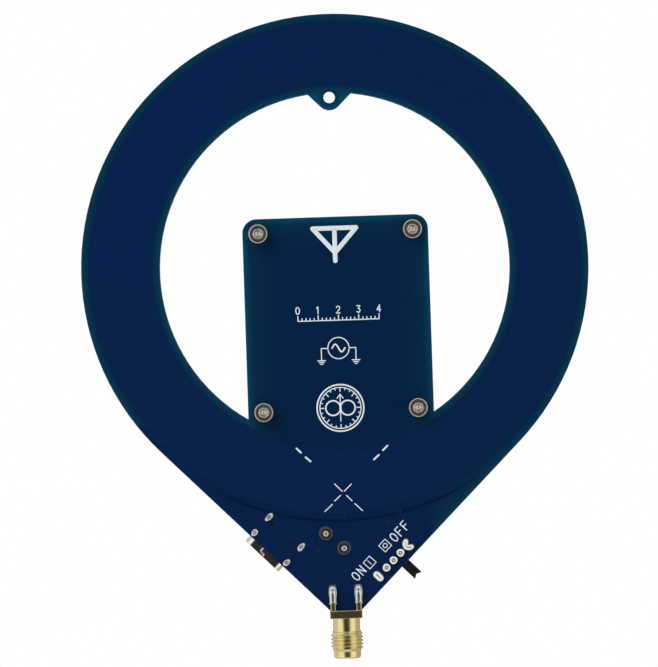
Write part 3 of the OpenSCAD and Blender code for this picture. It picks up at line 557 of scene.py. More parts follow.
def rounded(width: float, height: float, radius: float, steps: int = 5) -> list[Flat]:
    """Outline of a centred rectangle with round corners.

    Args:
        width: Its size along x.
        height: Its size along y.
        radius: Radius of the corners.
        steps: Segments in each corner.

    Returns:
        The points, anticlockwise.
    """
    points = []
    for quarter, (sx, sy) in enumerate([(1, 1), (-1, 1), (-1, -1), (1, -1)]):
        for k in range(steps + 1):
            a = math.pi / 2 * (quarter + k / steps)
            points.append((sx * (width / 2 - radius) + radius * math.cos(a),
                           sy * (height / 2 - radius) + radius * math.sin(a)))
    return points


def shrunk(outline: Sequence[Flat], by: float) -> list[Flat]:
    """Outline moved inwards along its corners' middle lines.

    Args:
        outline: Points, anticlockwise.
        by: How far each wall moves in.

    Returns:
        As many points, moved.
    """
    moved = []
    for k, point in enumerate(outline):
        before, here, after = Vector(outline[k - 1]), Vector(point), Vector(outline[(k + 1) % len(outline)])
        a, b = (here - before).normalized(), (after - here).normalized()
        normal = Vector((-a.y - b.y, a.x + b.x))
        if normal.length < 1e-6:
            normal = Vector((-a.y, a.x))
        normal.normalize()
        share = max(0.4, normal.dot(Vector((-a.y, a.x))))
        moved.append(tuple(here + normal * (by / share)))
    return moved


def placed(name: str, data: bpy.types.ID) -> Piece:
    """Object with this data, linked into the scene."""
    piece = bpy.data.objects.new(name, data)
    bpy.context.scene.collection.objects.link(piece)
    return piece


class Shape:
    """Mesh under construction. Everything that is added stays one named piece."""

    def __init__(self) -> None:
        """Starts empty."""
        self.mesh = bmesh.new()

    def loft(self, seat: Seat, rings: Sequence[Sequence[Point]], closed: bool = False) -> None:
        """Skins a row of rings, and caps its ends unless the row closes on itself.

        Args:
            seat: Where the rings lie.
            rings: Rings of as many points each.
            closed: Whether the last ring joins the first.
        """
        rows = [[self.mesh.verts.new(seat.world(p)) for p in ring] for ring in rings]
        for low, high in zip(rows, rows[1:] + (rows[:1] if closed else [])):
            for k in range(len(low)):
                after = (k + 1) % len(low)
                self.mesh.faces.new((low[k], low[after], high[after], high[k]))
        if not closed:
            self.mesh.faces.new(rows[0])
            self.mesh.faces.new(rows[-1])

    def prism(self, seat: Seat, outline: Sequence[Flat], low: float, high: float, edge: float = 0.0,
              foot: float = 0.0) -> None:
        """Stands an outline up from low to high.

        Args:
            seat: Where it stands.
            outline: Points of the outline, anticlockwise.
            low: Height of its lower face.
            high: Height of its upper face.
            edge: Size of the bevel round the upper face.
            foot: Size of the bevel round the lower face.
        """
        levels = [(low, foot), (low + foot, 0.0)] if foot else [(low, 0.0)]
        if edge:
            levels += [(high - edge, 0.0), (high - 0.3 * edge, 0.3 * edge), (high, edge)]
        else:
            levels += [(high, 0.0)]
        self.loft(seat, [raised(shrunk(outline, inset) if inset else outline, z) for z, inset in levels])

    def lathe(self, seat: Seat, profile: Sequence[Flat], sides: int = 40, centre: Flat = (0.0, 0.0),
              closed: bool = False, shape: Callable[[float, float], float] | None = None) -> None:
        """Turns a profile of radius and height about its axis.

        Args:
            seat: Where the axis stands.
            profile: Radius and height of each step.
            sides: Facets round the axis.
            centre: Where the axis crosses the seat.
            closed: Whether the profile joins up, as in a ring.
            shape: Changes the radius, by angle and radius.
        """
        rings = []
        for radius, z in profile:
            reach = partial(shape, radius=radius) if shape else radius
            rings.append(raised(circle(reach, sides, centre), z))
        self.loft(seat, rings, closed)

    def sweep(self, seat: Seat, path: Sequence[Point], section: Sequence[Flat],
              steady: Point = (0.0, 0.0, 1.0), closed: bool = False) -> None:
        """Carries a section along a path, with mitred corners.

        Args:
            seat: Where the path lies.
            path: Points of the path.
            section: Points across the path and along the steady direction.
            steady: Direction that the path never follows.
            closed: Whether the path joins up.
        """
        points = [Vector(p) for p in path]
        count = len(points)
        rings = []
        for k, here in enumerate(points):
            before = points[k - 1] if k or closed else here
            after = points[(k + 1) % count] if k < count - 1 or closed else here
            ways = [w.normalized() for w in (here - before, after - here) if w.length > 1e-9]
            way = sum(ways, Vector()).normalized()
            mitre = 1 / max(0.5, way.dot(ways[0]))
            across = Vector(steady).cross(way).normalized()
            up = way.cross(across)
            rings.append([tuple(here + across * s * mitre + up * t) for s, t in section])
        self.loft(seat, rings, closed)

    def make(self, name: str, finish: Finish, body: str = BOARD_BODY, stands_for: Sequence[str] = (),
             soften: float = 0.0) -> Piece:
        """Turns what was added into one piece of the scene.

        Args:
            name: The piece's name.
            finish: What it is made of.
            body: The body that it moves with.
            stands_for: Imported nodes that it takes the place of.
            soften: Size of the round on its sharp edges.

        Returns:
            The piece.
        """
        bmesh.ops.recalc_face_normals(self.mesh, faces=self.mesh.faces)
        mesh = bpy.data.meshes.new(name)
        self.mesh.to_mesh(mesh)
        self.mesh.free()
        mesh.shade_smooth()
        mesh.set_sharp_from_angle(angle=SHARP_ANGLE)
        mesh.materials.append(finish.material())
        piece = placed(name, mesh)
        if soften:
            round_edges(piece, soften)
        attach(piece, body)
        if stands_for:
            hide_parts(*stands_for)
        return piece


def round_edges(piece: Piece, size: float) -> None:
    """Gives the sharp edges of a piece a small round, as any real edge has."""
    bevel = piece.modifiers.new("rounded_edges", "BEVEL")
    bevel.width = size * MM
    bevel.segments = 2
    bevel.limit_method = "ANGLE"
    bevel.angle_limit = SHARP_ANGLE
    bevel.harden_normals = True


def dress(node: str, finish: Finish, soften: float = 0.0) -> Piece:
    """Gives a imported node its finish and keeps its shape.

    Args:
        node: The node's name.
        finish: What it is made of.
        soften: Size of the round on its sharp edges.

    Returns:
        The node's object.
    """
    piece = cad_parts[node]
    if not piece.material_slots:
        piece.data.materials.append(None)
    for holder in piece.material_slots:
        holder.material = finish.material()
    if soften:
        weld = piece.modifiers.new("joined_corners", "WELD")
        weld.merge_threshold = 0.002 * MM
        plain = piece.modifiers.new("whole_faces", "DECIMATE")
        plain.decimate_type = "DISSOLVE"
        plain.angle_limit = math.radians(1)
        round_edges(piece, soften)
    return piece


def arc(centre: Flat, radius: float, start: float, end: float, steps: int = 24) -> list[Point]:
    """Points on an arc, at height zero, from start to end in degrees."""
    angles = (math.radians(start + (end - start) * k / steps) for k in range(steps + 1))
    return [(centre[0] + radius * math.cos(a), centre[1] + radius * math.sin(a), 0.0) for a in angles]


def cubic(corners: Sequence[Point], t: float) -> Vector:
    """Point at t on the cubic curve with these four control points."""
    a, b, c, d = (Vector(p) for p in corners)
    u = 1 - t
    return u**3 * a + 3 * u * u * t * b + 3 * u * t * t * c + t**3 * d


@dataclass
class Winding:
    """Printed spiral under the mask, alike on both faces."""

    inner_r: float = 36.1
    pitch: float = 0.508
    width: float = 0.254
    turns: int = 24
    lead_out: float = 1.6
    pad_r: float = 0.45
    pad_in: float = 0.25
    rise: float = 0.021
    shoulder: float = 0.065
    step: float = 3.0

    def path(self, mirror: int) -> list[Point]:
        """Middle line of the track: half turns, each half a pitch wider than the last.

        Args:
            mirror: 1 on the soldered face, -1 on the parts face.

        Returns:
            Points from the inner pad to the end that leads to the tail.
        """
        middle = self.inner_r + self.width / 2
        points = []
        for k in range(2 * self.turns):
            lower = k % 2
            centre, radius = lower * self.pitch / 2, middle + k * self.pitch / 2
            sweep = 90 if k == 2 * self.turns - 1 else 180
            start, steps = 180 * lower, round(sweep / self.step)
            points += arc((centre, 0), radius, start, start + sweep, steps)[:-1]
        out = self.pitch / 2 + self.width / 2
        points += [(self.pitch / 2, -radius, 0), (out, -radius, 0),
                   (out, -radius - self.width / 2 - self.lead_out, 0)]
        return [(mirror * x, y, z) for x, y, z in points]

    def build(self) -> list[Piece]:
        """Makes both faces' tracks, each with the covered pad of its plated hole."""
        half, top = self.width / 2, self.rise
        section = [(-half - self.shoulder, -0.002), (-half, 0.5 * top), (-half + self.shoulder, top),
                   (half - self.shoulder, top), (half, 0.5 * top), (half + self.shoulder, -0.002)]
        pad = [(self.pad_r + 0.04, -0.01), (self.pad_r, 0.7 * top), (self.pad_r - 0.06, top + 0.01),
               (0.24, top + 0.01), (0.16, 0.5 * top), (0.02, 0.4 * top)]
        made = []
        for name, seat, mirror in (("rear_winding", SOLDER, 1), ("front_winding", PARTS, -1)):
            shape = Shape()
            shape.sweep(seat, self.path(mirror), section)
            shape.lathe(seat, pad, 24, (mirror * (self.inner_r - self.pad_in), 0))
            made.append(shape.make(name + "_relief", TRACK, stands_for=[name]))
        return made


@dataclass
class Routing:
    """Copper lines and covered plated holes of the tail, which show as relief in the mask."""

    width: float = 0.42
    rise: float = 0.03
    hole_r: float = 0.34
    lines: tuple[tuple[Flat, ...], ...] = (
        ((-0.38, -49.6), (-0.38, -50.2), (-1.4, -51.3), (-1.4, -55.4), (-0.5, -56.4), (1.2, -56.4)),
        ((3.0, -50.4), (3.0, -51.6), (2.0, -53.2), (2.0, -55.2), (3.3, -57.0)),
        ((-3.5, -53.4), (-3.5, -55.8), (-4.5, -56.9)),
        ((-11.2, -52.6), (-9.6, -54.2), (-9.6, -55.2), (-8.2, -56.9)),
        ((-12.4, -53.8), (-11.0, -55.2), (-11.0, -58.0), (-9.4, -59.6)),
        ((-7.8, -59.15), (-7.8, -60.4), (-7.0, -61.2), (-6.1, -61.2)),
        ((3.0, -59.0), (6.2, -59.0), (8.0, -58.8)),
        ((9.65, -56.8), (8.6, -55.6), (8.6, -53.6), (7.6, -52.6)),
        ((0.0, -61.9), (0.0, -62.6)),
        ((6.0, -62.2), (7.2, -61.2), (8.1, -60.3)),
        ((2.9, -60.4), (3.6, -61.2), (3.6, -62.2), (4.0, -62.2)))
    holes: tuple[Flat, ...] = (
        (-3.35, -60.5), (5.5, -61.9), (14.2, -52.1), (-1.4, -53.2), (2.0, -53.9), (-9.6, -54.6),
        (-11.0, -56.6), (11.2, -48.4), (-4.9, -55.6), (8.6, -50.4))

    def build(self) -> list[Piece]:
        """Makes the lines on the parts face, and the covered holes on both."""
        copper, half = Shape(), self.width / 2
        section = [(-half, -0.002), (-half + 0.06, self.rise), (half - 0.06, self.rise), (half, -0.002)]
        for line in self.lines:
            copper.sweep(PARTS, [(x, y, 0.0) for x, y in line], section)
        holes, r = Shape(), self.hole_r
        sunk = [(r, -0.002), (r - 0.06, self.rise), (0.5 * r, self.rise), (0.38 * r, 0.012), (0.02, 0.004)]
        for spot in self.holes:
            for seat in (SOLDER, PARTS):
                holes.lathe(seat, sunk, 24, spot)
        return [copper.make("masked_lines", TRACK), holes.make("covered_plated_holes", COVERED_HOLE)]


# Strokes of the few signs on the board, on a field one high and about half as wide
OVAL = circle(0.5, 18, (0.27, 0.5), (0.54, 1.0))
OVAL.append(OVAL[0])
SIGNS: dict[str, list[list[Flat]]] = {
    "O": [OVAL],
    "0": [OVAL],
    "N": [[(0, 0), (0, 1), (0.52, 0), (0.52, 1)]],
    "F": [[(0, 0), (0, 1), (0.5, 1)], [(0, 0.53), (0.42, 0.53)]],
    "1": [[(0.08, 0.78), (0.28, 1), (0.28, 0)]],
    "2": [[(0.02, 0.78), (0.1, 0.95), (0.27, 1), (0.45, 0.93), (0.5, 0.74), (0.42, 0.52), (0, 0), (0.52, 0)]],
    "3": [[(0.04, 0.98), (0.48, 0.98), (0.22, 0.58), (0.42, 0.5), (0.5, 0.3), (0.42, 0.08), (0.22, 0),
           (0.02, 0.12)]],
    "4": [[(0.38, 0), (0.38, 1), (0, 0.3), (0.52, 0.3)]],
    "+": [[(0.25, 0.22), (0.25, 0.78)], [(-0.03, 0.5), (0.53, 0.5)]],
    "-": [[(-0.03, 0.5), (0.53, 0.5)]],
}


@dataclass
class Printing:
    """White ink on both faces of the board and on the cover."""

    thin: float = 0.2
    middle: float = 0.3
    broad: float = 0.9
    rise: float = 0.025
    over_track: float = 0.1
    corner: float = math.radians(40)
    shape: Shape | None = None
    laid: int = 0

    def next_height(self, top: float | None) -> float:
        """Height of the next stretch of ink: a hair off the last ones, so that crossings have one top."""
        self.laid = (self.laid + 1) % 7
        return (top or self.rise) + 0.0012 * self.laid

    def ribbon(self, seat: Seat, points: Sequence[Point], width: float, high: float, closed: bool) -> None:
        """Lays one smooth stretch of ink.

        Args:
            seat: Where the points lie.
            points: Points of the line.
            width: Width of the line.
            high: Height of the ink.
            closed: Whether the line joins up.
        """
        section = [(-width / 2, 0), (-width / 2, high * 0.8), (-width / 2 + 0.02, high),
                   (width / 2 - 0.02, high), (width / 2, high * 0.8), (width / 2, 0)]
        self.shape.sweep(seat, points, section, closed=closed)

    def stroke(self, path: Sequence[Sequence[float]], width: float | None = None, seat: Seat = SOLDER,
               top: float | None = None, closed: bool = False) -> None:
        """Lays one line of ink with round ends.

        Args:
            path: Points of the line.
            width: Width of the line, thin where it isn't given.
            seat: Where the path lies.
            top: Height of the ink above the board.
            closed: Whether the line joins up.
        """
        width, points = width or self.thin, raised([p[:2] for p in path], 0.0)
        high = self.next_height(top)
        if closed:
            self.ribbon(seat, points, width, high, True)
            return
        start = 0
        for k in range(1, len(points)):
            ends = k == len(points) - 1
            if not ends:
                before = Vector(points[k]) - Vector(points[k - 1])
                after = Vector(points[k + 1]) - Vector(points[k])
                ends = before.angle(after) > self.corner
            if ends:
                self.ribbon(seat, points[start : k + 1], width, self.next_height(top), False)
                for x, y, _ in (points[start], points[k]):
                    dot = circle(width / 2 - 0.002, 12, (x, y))
                    self.shape.prism(seat, dot, 0, self.next_height(top), 0.01)
                start = k

    def write(self, seat: Seat, signs: str, size: float, width: float | None = None,
              gap: float = 0.3) -> None:
        """Draws signs in a row from the seat's origin.

        Args:
            seat: Where the row starts.
            signs: The signs to draw.
            size: Their height.
            width: Width of the line.
            gap: Room between them, as a share of the height.
        """
        for k, sign in enumerate(signs):
            shift = k * (0.54 + gap) * size
            for line in SIGNS[sign]:
                self.stroke([(shift + x * size, y * size) for x, y in line], width, seat)

    def aerial(self) -> None:
        """Broad aerial sign at the top of the tongue: a triangle on a stem."""
        mid, top, low, foot, half = 0.15, 7.75, 2.9, 1.3, 4.3
        self.stroke([(mid, low), (mid - half, top), (mid + half, top), (mid, low)], self.broad)
        self.stroke([(mid, top), (mid, foot)], self.broad)

    def scale(self) -> None:
        """Plain scale with ticks and numbers in the middle of the tongue."""
        left, pitch, low, ticks, step = -7.6, 0.8, -10.4, 20, 5
        self.stroke([(left, low), (left + ticks * pitch, low)])
        for k in range(ticks + 1):
            x, height = left + k * pitch, 0.5 if k % step else 1.0
            self.stroke([(x, low), (x, low + height)])
        for k in range(ticks // step + 1):
            self.write(SOLDER.moved(left + step * k * pitch - 0.37, low + 1.4), str(k), 1.35)

    def generator(self) -> None:
        """Circuit sign of a wave source with its two leads to earth."""
        x, y, radius, lead, drop = 0.2, -15.9, 2.1, 1.3, 2.4
        self.stroke(arc((x, y), radius, 0, 345, 32), closed=True)
        wave = [(x + 0.14 * k - 1.26, y + 0.75 * math.sin(k * math.pi / 9)) for k in range(19)]
        self.stroke(wave, self.middle)
        for side in (-1, 1):
            end = x + side * (radius + lead)
            self.stroke([(x + side * radius, y), (end, y), (end, y - drop)])
        for k in range(3):
            for side in (-1, 1):
                half, end, low = 0.75 - 0.25 * k, x + side * (radius + lead), y - drop - 0.35 * k
                self.stroke([(end - half, low), (end + half, low)])

    def rose(self) -> None:
        """Round figure of the loop's reception: a figure of eight in a ring with bearings."""
        centre, radius, inner, lobe = (0.2, -27.7), 4.6, 4.05, 2.9
        x, y = centre
        self.stroke(arc(centre, radius, 0, 352, 44), self.middle, closed=True)
        self.stroke(arc(centre, inner, 0, 352, 44), closed=True)
        for k in range(24):
            a, tick = math.radians(15 * k), radius - (0.95 if k % 3 else 1.35)
            self.stroke([(x + r * math.cos(a), y + r * math.sin(a)) for r in (tick, inner)])
        eight = circle(lambda a: lobe * abs(math.cos(a)), 48, centre)
        for half in (eight[37:] + eight[:12], eight[13:36]):
            self.stroke(half, self.middle, closed=True)
        self.stroke([(x, y - 2.6), (x, y + 2.6)])
        self.stroke([(x - 0.6, y + 1.9), (x, y + 2.7), (x + 0.6, y + 1.9)])

    def marks(self) -> None:
        """Dashes on the ring and the crossed line above the tail."""
        dashes = [((-8.73, -35.40), (-7.87, -36.27)), ((-6.99, -37.19), (-6.03, -38.05)),
                  ((9.21, -35.44), (8.30, -36.30)), ((7.46, -37.21), (6.44, -38.09))]
        cross = [((-1.45, -42.66), (0.0, -44.12)), ((1.85, -42.76), (0.4, -44.15)),
                 ((-0.35, -44.92), (-1.55, -46.0)), ((0.80, -44.96), (1.88, -46.06)),
                 ((-2.04, -46.66), (-3.55, -48.03)), ((2.40, -46.63), (3.89, -48.08))]
        for lines, width in ((dashes, self.middle + 0.05), (cross, self.thin)):
            for line in lines:
                self.stroke(line, width, top=self.over_track)

    def switch_words(self) -> None:
        """ON and OFF beside the switch, with the bar and ring that stand for them."""
        turn, size, line, thin, half = 46, 1.8, 0.22, 0.17, 0.9
        for word, x, y in (("ON", 2.45, -61.95), ("OFF", 10.2, -54.53)):
            self.write(Seat(Side.SOLDER, (x, y), turn), word, size, line, 0.36)
        bar, ring = Seat(Side.SOLDER, (4.95, -58.35), turn), Seat(Side.SOLDER, (8.1, -55.1), turn)
        self.stroke([(0, -0.5), (0, 0.5)], thin, bar)
        self.stroke(arc((0, 0), 0.42, 0, 342, 18), thin, ring, closed=True)
        for seat in (bar, ring):
            corners = rectangle(2 * half, 2 * half)
            self.stroke(corners + corners[:1], thin, seat)

    def outlines(self) -> None:
        """Outlines of the parts, and the signs of the battery's poles."""
        amp, charger, bulk = (on_tail(at) for at in (AMPLIFIER_AT, CHARGER_AT, BULK_AT))
        for x in (-3.9, 3.9):
            self.stroke([(x, -2.75), (x, 2.75)], seat=amp)
        self.stroke(arc((-3.3, 3.2), 0.12, 0, 330, 10), seat=amp, closed=True)
        for seat, half, height in ((charger, 0.8, 1.75), (bulk, 2.4, 1.7)):
            for y in (-height, height):
                self.stroke([(-half, y), (half, y)], seat=seat)
        self.stroke([(-2.6, -1.7), (-2.6, 1.7)], self.middle, bulk)
        for seat, half, low, high, back in ((USB_SEAT, 5.35, -7.9, -2.6, [(-4.4, -8.4), (4.4, -8.4)]),
                                            (SWITCH_SEAT, 4.75, -1.5, 1.4, [(-4.75, -2.35), (4.75, -2.35)])):
            for x in (-half, half):
                self.stroke([(x, low), (x, high)], seat=seat)
            self.stroke(back, seat=seat)
        for pad in LEAD_PADS:
            self.stroke(arc(pad, 1.75, 0, 348, 30), seat=PARTS, closed=True)
        for sign, x, y in (("+", -6.5, -51.6), ("-", 2.9, -56.1)):
            self.write(PARTS.moved(x, y), sign, 1.5, self.middle)

    def cover_frame(self) -> None:
        """Thin frame and the sign of a cell on the cover."""
        left, right, low, high, inset = -16.9, 17.5, -30.1, 8.9, 4.2
        x_mid, y_mid, face = 0.3, -10.6, PARTS.moved(0, 0, lift=COVER_TOP)
        for x, y in ((left, low), (left, high), (right, low), (right, high)):
            dx, dy = math.copysign(inset, x_mid - x), math.copysign(inset, y_mid - y)
            self.stroke([(x + dx, y), (x + dx, y + 0.35 * dy)], seat=face)
            self.stroke([(x, y + dy), (x + 0.35 * dx, y + dy)], seat=face)
        for y in (low, high):
            self.stroke([(left + inset, y), (right - inset, y)], seat=face)
        for x in (left, right):
            self.stroke([(x, low + inset), (x, high - inset)], seat=face)
        for x, half in ((-1.1, 2.6), (0.1, 1.3), (1.3, 2.6), (2.5, 1.3)):
            self.stroke([(x, y_mid - half), (x, y_mid + half)], self.middle, face)
        for x, reach in ((-1.1, -4.2), (2.5, 5.6)):
            self.stroke([(x, y_mid), (reach, y_mid)], self.middle, face)
        for sign, x in (("-", 4.2), ("+", -4.3)):
            self.write(face.moved(x, -9.4), sign, 1.4)

    def build(self) -> list[Piece]:
        """Prints both faces of the board and the back of the cover."""
        made = []
        for name, draw in (("aerial_sign", self.aerial), ("scale_print", self.scale),
                           ("wave_sign", self.generator), ("reception_rose", self.rose),
                           ("ring_marks", self.marks), ("switch_words", self.switch_words),
                           ("part_outlines", self.outlines), ("cover_print", self.cover_frame)):
            self.shape = Shape()
            draw()
            made.append(self.shape.make(name, INK))
        return made


@dataclass
class Jack:
    """Coaxial jack: turned shell, square flange and four legs."""

    flange_w: float = 6.35
    flange_t: float = 1.54
    bore_r: float = 2.07
    rim_r: float = 2.65
    rim_len: float = 1.4
    thread_r: float = 3.15
    thread_len: float = 3.86
    thread_pitch: float = 0.7056
    thread_depth: float = 0.4
    thread_start: float = -0.24
    relief_r: float = 2.65
    socket_r: float = 2.3
    socket_len: float = 1.9
    length: float = 9.53
    leg_w: float = 1.0
    leg_len: float = 4.9
    leg_x: float = 2.54
    near: float = 0.02

    def thread(self, shape: Shape) -> None:
        """Cuts the helical thread: rows of points follow the helix, and both ends run out on a cone."""
        steps = [(0.0, 0), (0.17, 0), (0.2, 0.04), (0.47, 0.95), (0.52, 1), (0.6, 1), (0.65, 0.95),
                 (0.96, 0.04)]
        steps = [(share + self.thread_start, depth) for share, depth in steps]
        sides, low, high = 60, self.rim_len, self.rim_len + self.thread_len
        turns = math.ceil(self.thread_len / self.thread_pitch)
        rows = [(k + share, depth) for k in range(-1, turns + 2) for share, depth in steps]
        grid = []
        for turn, depth in rows:
            row = []
            for s in range(sides + 1):
                z = min(high, max(low, low + (turn + s / sides) * self.thread_pitch))
                cone = self.relief_r + 0.8 * min(z - low, high - z + 0.05)
                r = min(self.thread_r - depth * self.thread_depth, max(self.relief_r, cone))
                a = 2 * math.pi * s / sides
                row.append(shape.mesh.verts.new(JACK.world((r * math.cos(a), r * math.sin(a), z))))
            grid.append(row)
        for lower, upper in zip(grid, grid[1:]):
            for s in range(sides):
                corners = (lower[s], lower[s + 1], upper[s + 1], upper[s])
                if len({tuple(round(c / MM, 4) for c in v.co) for v in corners}) > 2:
                    shape.mesh.faces.new(corners)
        bmesh.ops.remove_doubles(shape.mesh, verts=shape.mesh.verts, dist=0.002 * MM)
        bmesh.ops.dissolve_degenerate(shape.mesh, edges=shape.mesh.edges, dist=0.002 * MM)

    def flange(self, shape: Shape) -> None:
        """Square plate with the sleeve's bore through it."""
        sides, low, high, edge, corner = 72, self.length - self.flange_t, self.length, 0.08, 0.09

        def square(a: float, reach: float) -> float:
            """Distance to the plate's side or its rounded corner."""
            return min(reach / max(abs(math.cos(a)), abs(math.sin(a))), math.sqrt(2) * reach - corner)

        rings = []
        for z, inset in ((low, edge), (low + edge, 0.0), (high - edge, 0.0), (high, edge)):
            reach = self.flange_w / 2 - inset
            rings.append(raised(circle(partial(square, reach=reach), sides), z))
        shape.loft(JACK, rings + [raised(circle(self.bore_r, sides), z) for z in (high, low)], closed=True)

    def build(self) -> list[Piece]:
        """Makes the shell with its legs, and dresses the sleeve and the contact."""
        shape = Shape()
        self.thread(shape)
        crest_end = self.rim_len + self.thread_len
        flange_low = self.length - self.flange_t
        tube = [(self.socket_r, 0.12), (self.socket_r + 0.1, 0.0), (self.rim_r - 0.25, 0.0),
                (self.rim_r - 0.03, 0.22), (self.rim_r, 0.32), (self.rim_r, flange_low + 0.02),
                (self.bore_r, flange_low + 0.02), (self.bore_r, self.socket_len + 0.05),
                (self.socket_r, self.socket_len)]
        relief = [(self.rim_r - 0.02, crest_end - 0.01), (self.relief_r + 0.18, crest_end - 0.01),
                  (self.relief_r + 0.03, crest_end + 0.06), (self.rim_r - 0.02, crest_end + 0.1)]
        for profile in (tube, relief):
            shape.lathe(JACK, profile, 60, closed=True)
        self.flange(shape)
        for side in (-1, 1):
            for seat in (SOLDER, PARTS):
                at = (side * self.leg_x, self.near + self.leg_w / 2)
                steps = ((-self.flange_t / 2, 1), (self.leg_len - 0.3, 1), (self.leg_len - 0.2, 0.7))
                rings = [upright(rounded(k * self.leg_w, k * self.leg_w, k * 0.16, 3), PLACE.neck + y, at)
                         for y, k in steps]
                shape.loft(seat, rings)
        return [shape.make("jack_shell", GOLD_PLATE, stands_for=["sma_shell"]),
                dress("sma_dielectric", FLUOROPOLYMER), dress("sma_contact", CONTACT_GOLD)]


@dataclass
class Soldering:
    """Every joint of solder, each with the shape that its tin took."""

    usb: Seat
    switch: Seat
    lead_pads: Sequence[Flat]
    pin_pitch: float = 2.0
    tab_x: float = 4.16
    tab_height: float = 0.74

    def wave(self, order: int, depth: float, phase: float) -> Callable[[float, float], float]:
        """Uneven rim for a joint.

        Args:
            order: Number of lobes round it.
            depth: Their share of the radius.
            phase: Where they start.

        Returns:
            A function of angle and radius.
        """
        return lambda angle, radius: radius * (1 + depth * math.sin(order * angle + phase)
                                               + 0.5 * depth * math.sin(angle + phase))

    def leg_joint(self, shape: Shape, seat: Seat, x: float, jack: Jack) -> None:
        """Tin that ran up both sides of a leg and over its end.

        Args:
            shape: The piece that it becomes part of.
            seat: The face of the board.
            x: Where the leg's middle is.
            jack: The jack with its sizes.
        """
        half, top = jack.leg_w / 2, jack.near + jack.leg_w
        rings = []
        for share in (0.26, 0.3, 0.36, 0.46, 0.56, 0.66, 0.73, 0.78, 0.84, 0.9, 0.95, 1.0, 1.04):
            y = PLACE.neck + jack.leg_len * share
            crest = math.sin(math.pi * min(1.0, max(0.0, (share - 0.72) / 0.32)))
            sink = max(0.0, 0.36 - share) * 1.5 + max(0.0, share - 0.9) ** 2 * 34
            crown = top + 0.07 + 0.24 * crest - sink
            swell = 0.05 * (1 - crest) + 0.03
            wide = (0.2 + 0.05 * math.sin(11 * share)) * min(1.0, 0.3 + (1.05 - share) * 8)
            round_off = 0.1 + 0.12 * crest
            flank = [(half + wide, 0.0), (half + 0.6 * wide, 0.05), (half + 0.15 * wide + 0.02, 0.16),
                     (half + swell, crown - 0.16 - round_off), (half - 0.02, crown - round_off),
                     (half - 0.18 - 0.4 * round_off, crown)]
            rings.append(upright(mirrored(flank), y, (x, 0.0)))
        shape.loft(seat, rings)

    def oval(self, shape: Shape, seat: Seat, at: Flat, size: Flat, phase: float) -> None:
        """Oval joint that rises to a rim and dips to the metal in its middle.

        Args:
            shape: The piece that it becomes part of.
            seat: Where it stands.
            at: Its middle.
            size: Its half sizes along x and y.
            phase: Where its uneven rim starts.
        """
        rim = circle(lambda a: 1 + 0.05 * math.sin(2 * a + phase) + 0.04 * math.sin(3 * a + 2 * phase), 32)
        rings = []
        for share, z in ((1.0, 0.0), (0.98, 0.0476), (0.91, 0.187), (0.82, 0.306), (0.73, 0.34),
                         (0.64, 0.2992), (0.56, 0.12), (0.05, 0.12)):
            rings.append([(at[0] + size[0] * share * x, at[1] + size[1] * share * y, z) for x, y in rim])
        shape.loft(seat, rings)

    def bean(self, share: float, radius: float, sweep: float, half: float, taper: float) -> list[Flat]:
        """Outline of a bent lump about its middle line, which bends towards +x.

        Args:
            share: Its width as a share of the full one.
            radius: Radius of the middle line.
            sweep: Degrees that the middle line runs to either side.
            half: Half the full width.
            taper: How much of that is lost at the ends.

        Returns:
            The points, with a round end on either side.
        """
        bent = [(math.radians(sweep) * k / 8, abs(k) / 8) for k in range(-8, 9)]
        first, last = bent[0][0], bent[-1][0]
        turns = [math.pi * j / 6 for j in range(1, 6)]
        ways = [(a, a, far) for a, far in bent] + [(last, last + turn, 1) for turn in turns]
        ways += [(a, a + math.pi, far) for a, far in bent[::-1]]
        ways += [(first, first + math.pi + turn, 1) for turn in turns]
        points = []
        for a, way, far in ways:
            off = share * (half - taper * far)
            points.append((radius - radius * math.cos(a) - off * math.cos(way),
                           radius * math.sin(a) + off * math.sin(way)))
        return points

    def jack_joints(self) -> Piece:
        """Joints of the jack's four legs, and the long one of its middle pin."""
        shape, jack = Shape(), Jack()
        for side in (-1, 1):
            for seat in (SOLDER, PARTS):
                self.leg_joint(shape, seat, side * jack.leg_x, jack)
        rings = []
        for y, wide, crown in ((0.35, 0.72, 0.3), (0.9, 0.85, 0.42), (2.0, 0.92, 0.62), (2.8, 0.9, 0.98),
                               (3.6, 0.88, 1.03), (3.95, 0.8, 0.95), (4.15, 0.66, 0.6), (4.25, 0.5, 0.25)):
            flank = [(wide, 0.0), (0.8 * wide, 0.12), (0.62 * wide, 0.34 * crown + 0.08),
                     (0.42, 0.78 * crown), (0.2, crown)]
            rings.append(upright(mirrored(flank), PLACE.neck + y))
        shape.loft(PARTS, rings)
        return shape.make("jack_joints", SOLDER_TIN, stands_for=["sma_solder"])

    def lug_joints(self) -> Piece:
        """Oval joints of the charging socket's four lugs."""
        shape, socket = Shape(), ChargingSocket(self.usb)
        spots = [(side * socket.lug_x, -back) for back, _ in socket.lug_rows for side in (-1, 1)]
        for k, spot in enumerate(spots):
            self.oval(shape, behind(self.usb), spot, (0.6, (0.85, 1.0)[k // 2]), 1.7 * k)
        return shape.make("socket_lug_joints", SOLDER_TIN, stands_for=["usb_lug_solder"])

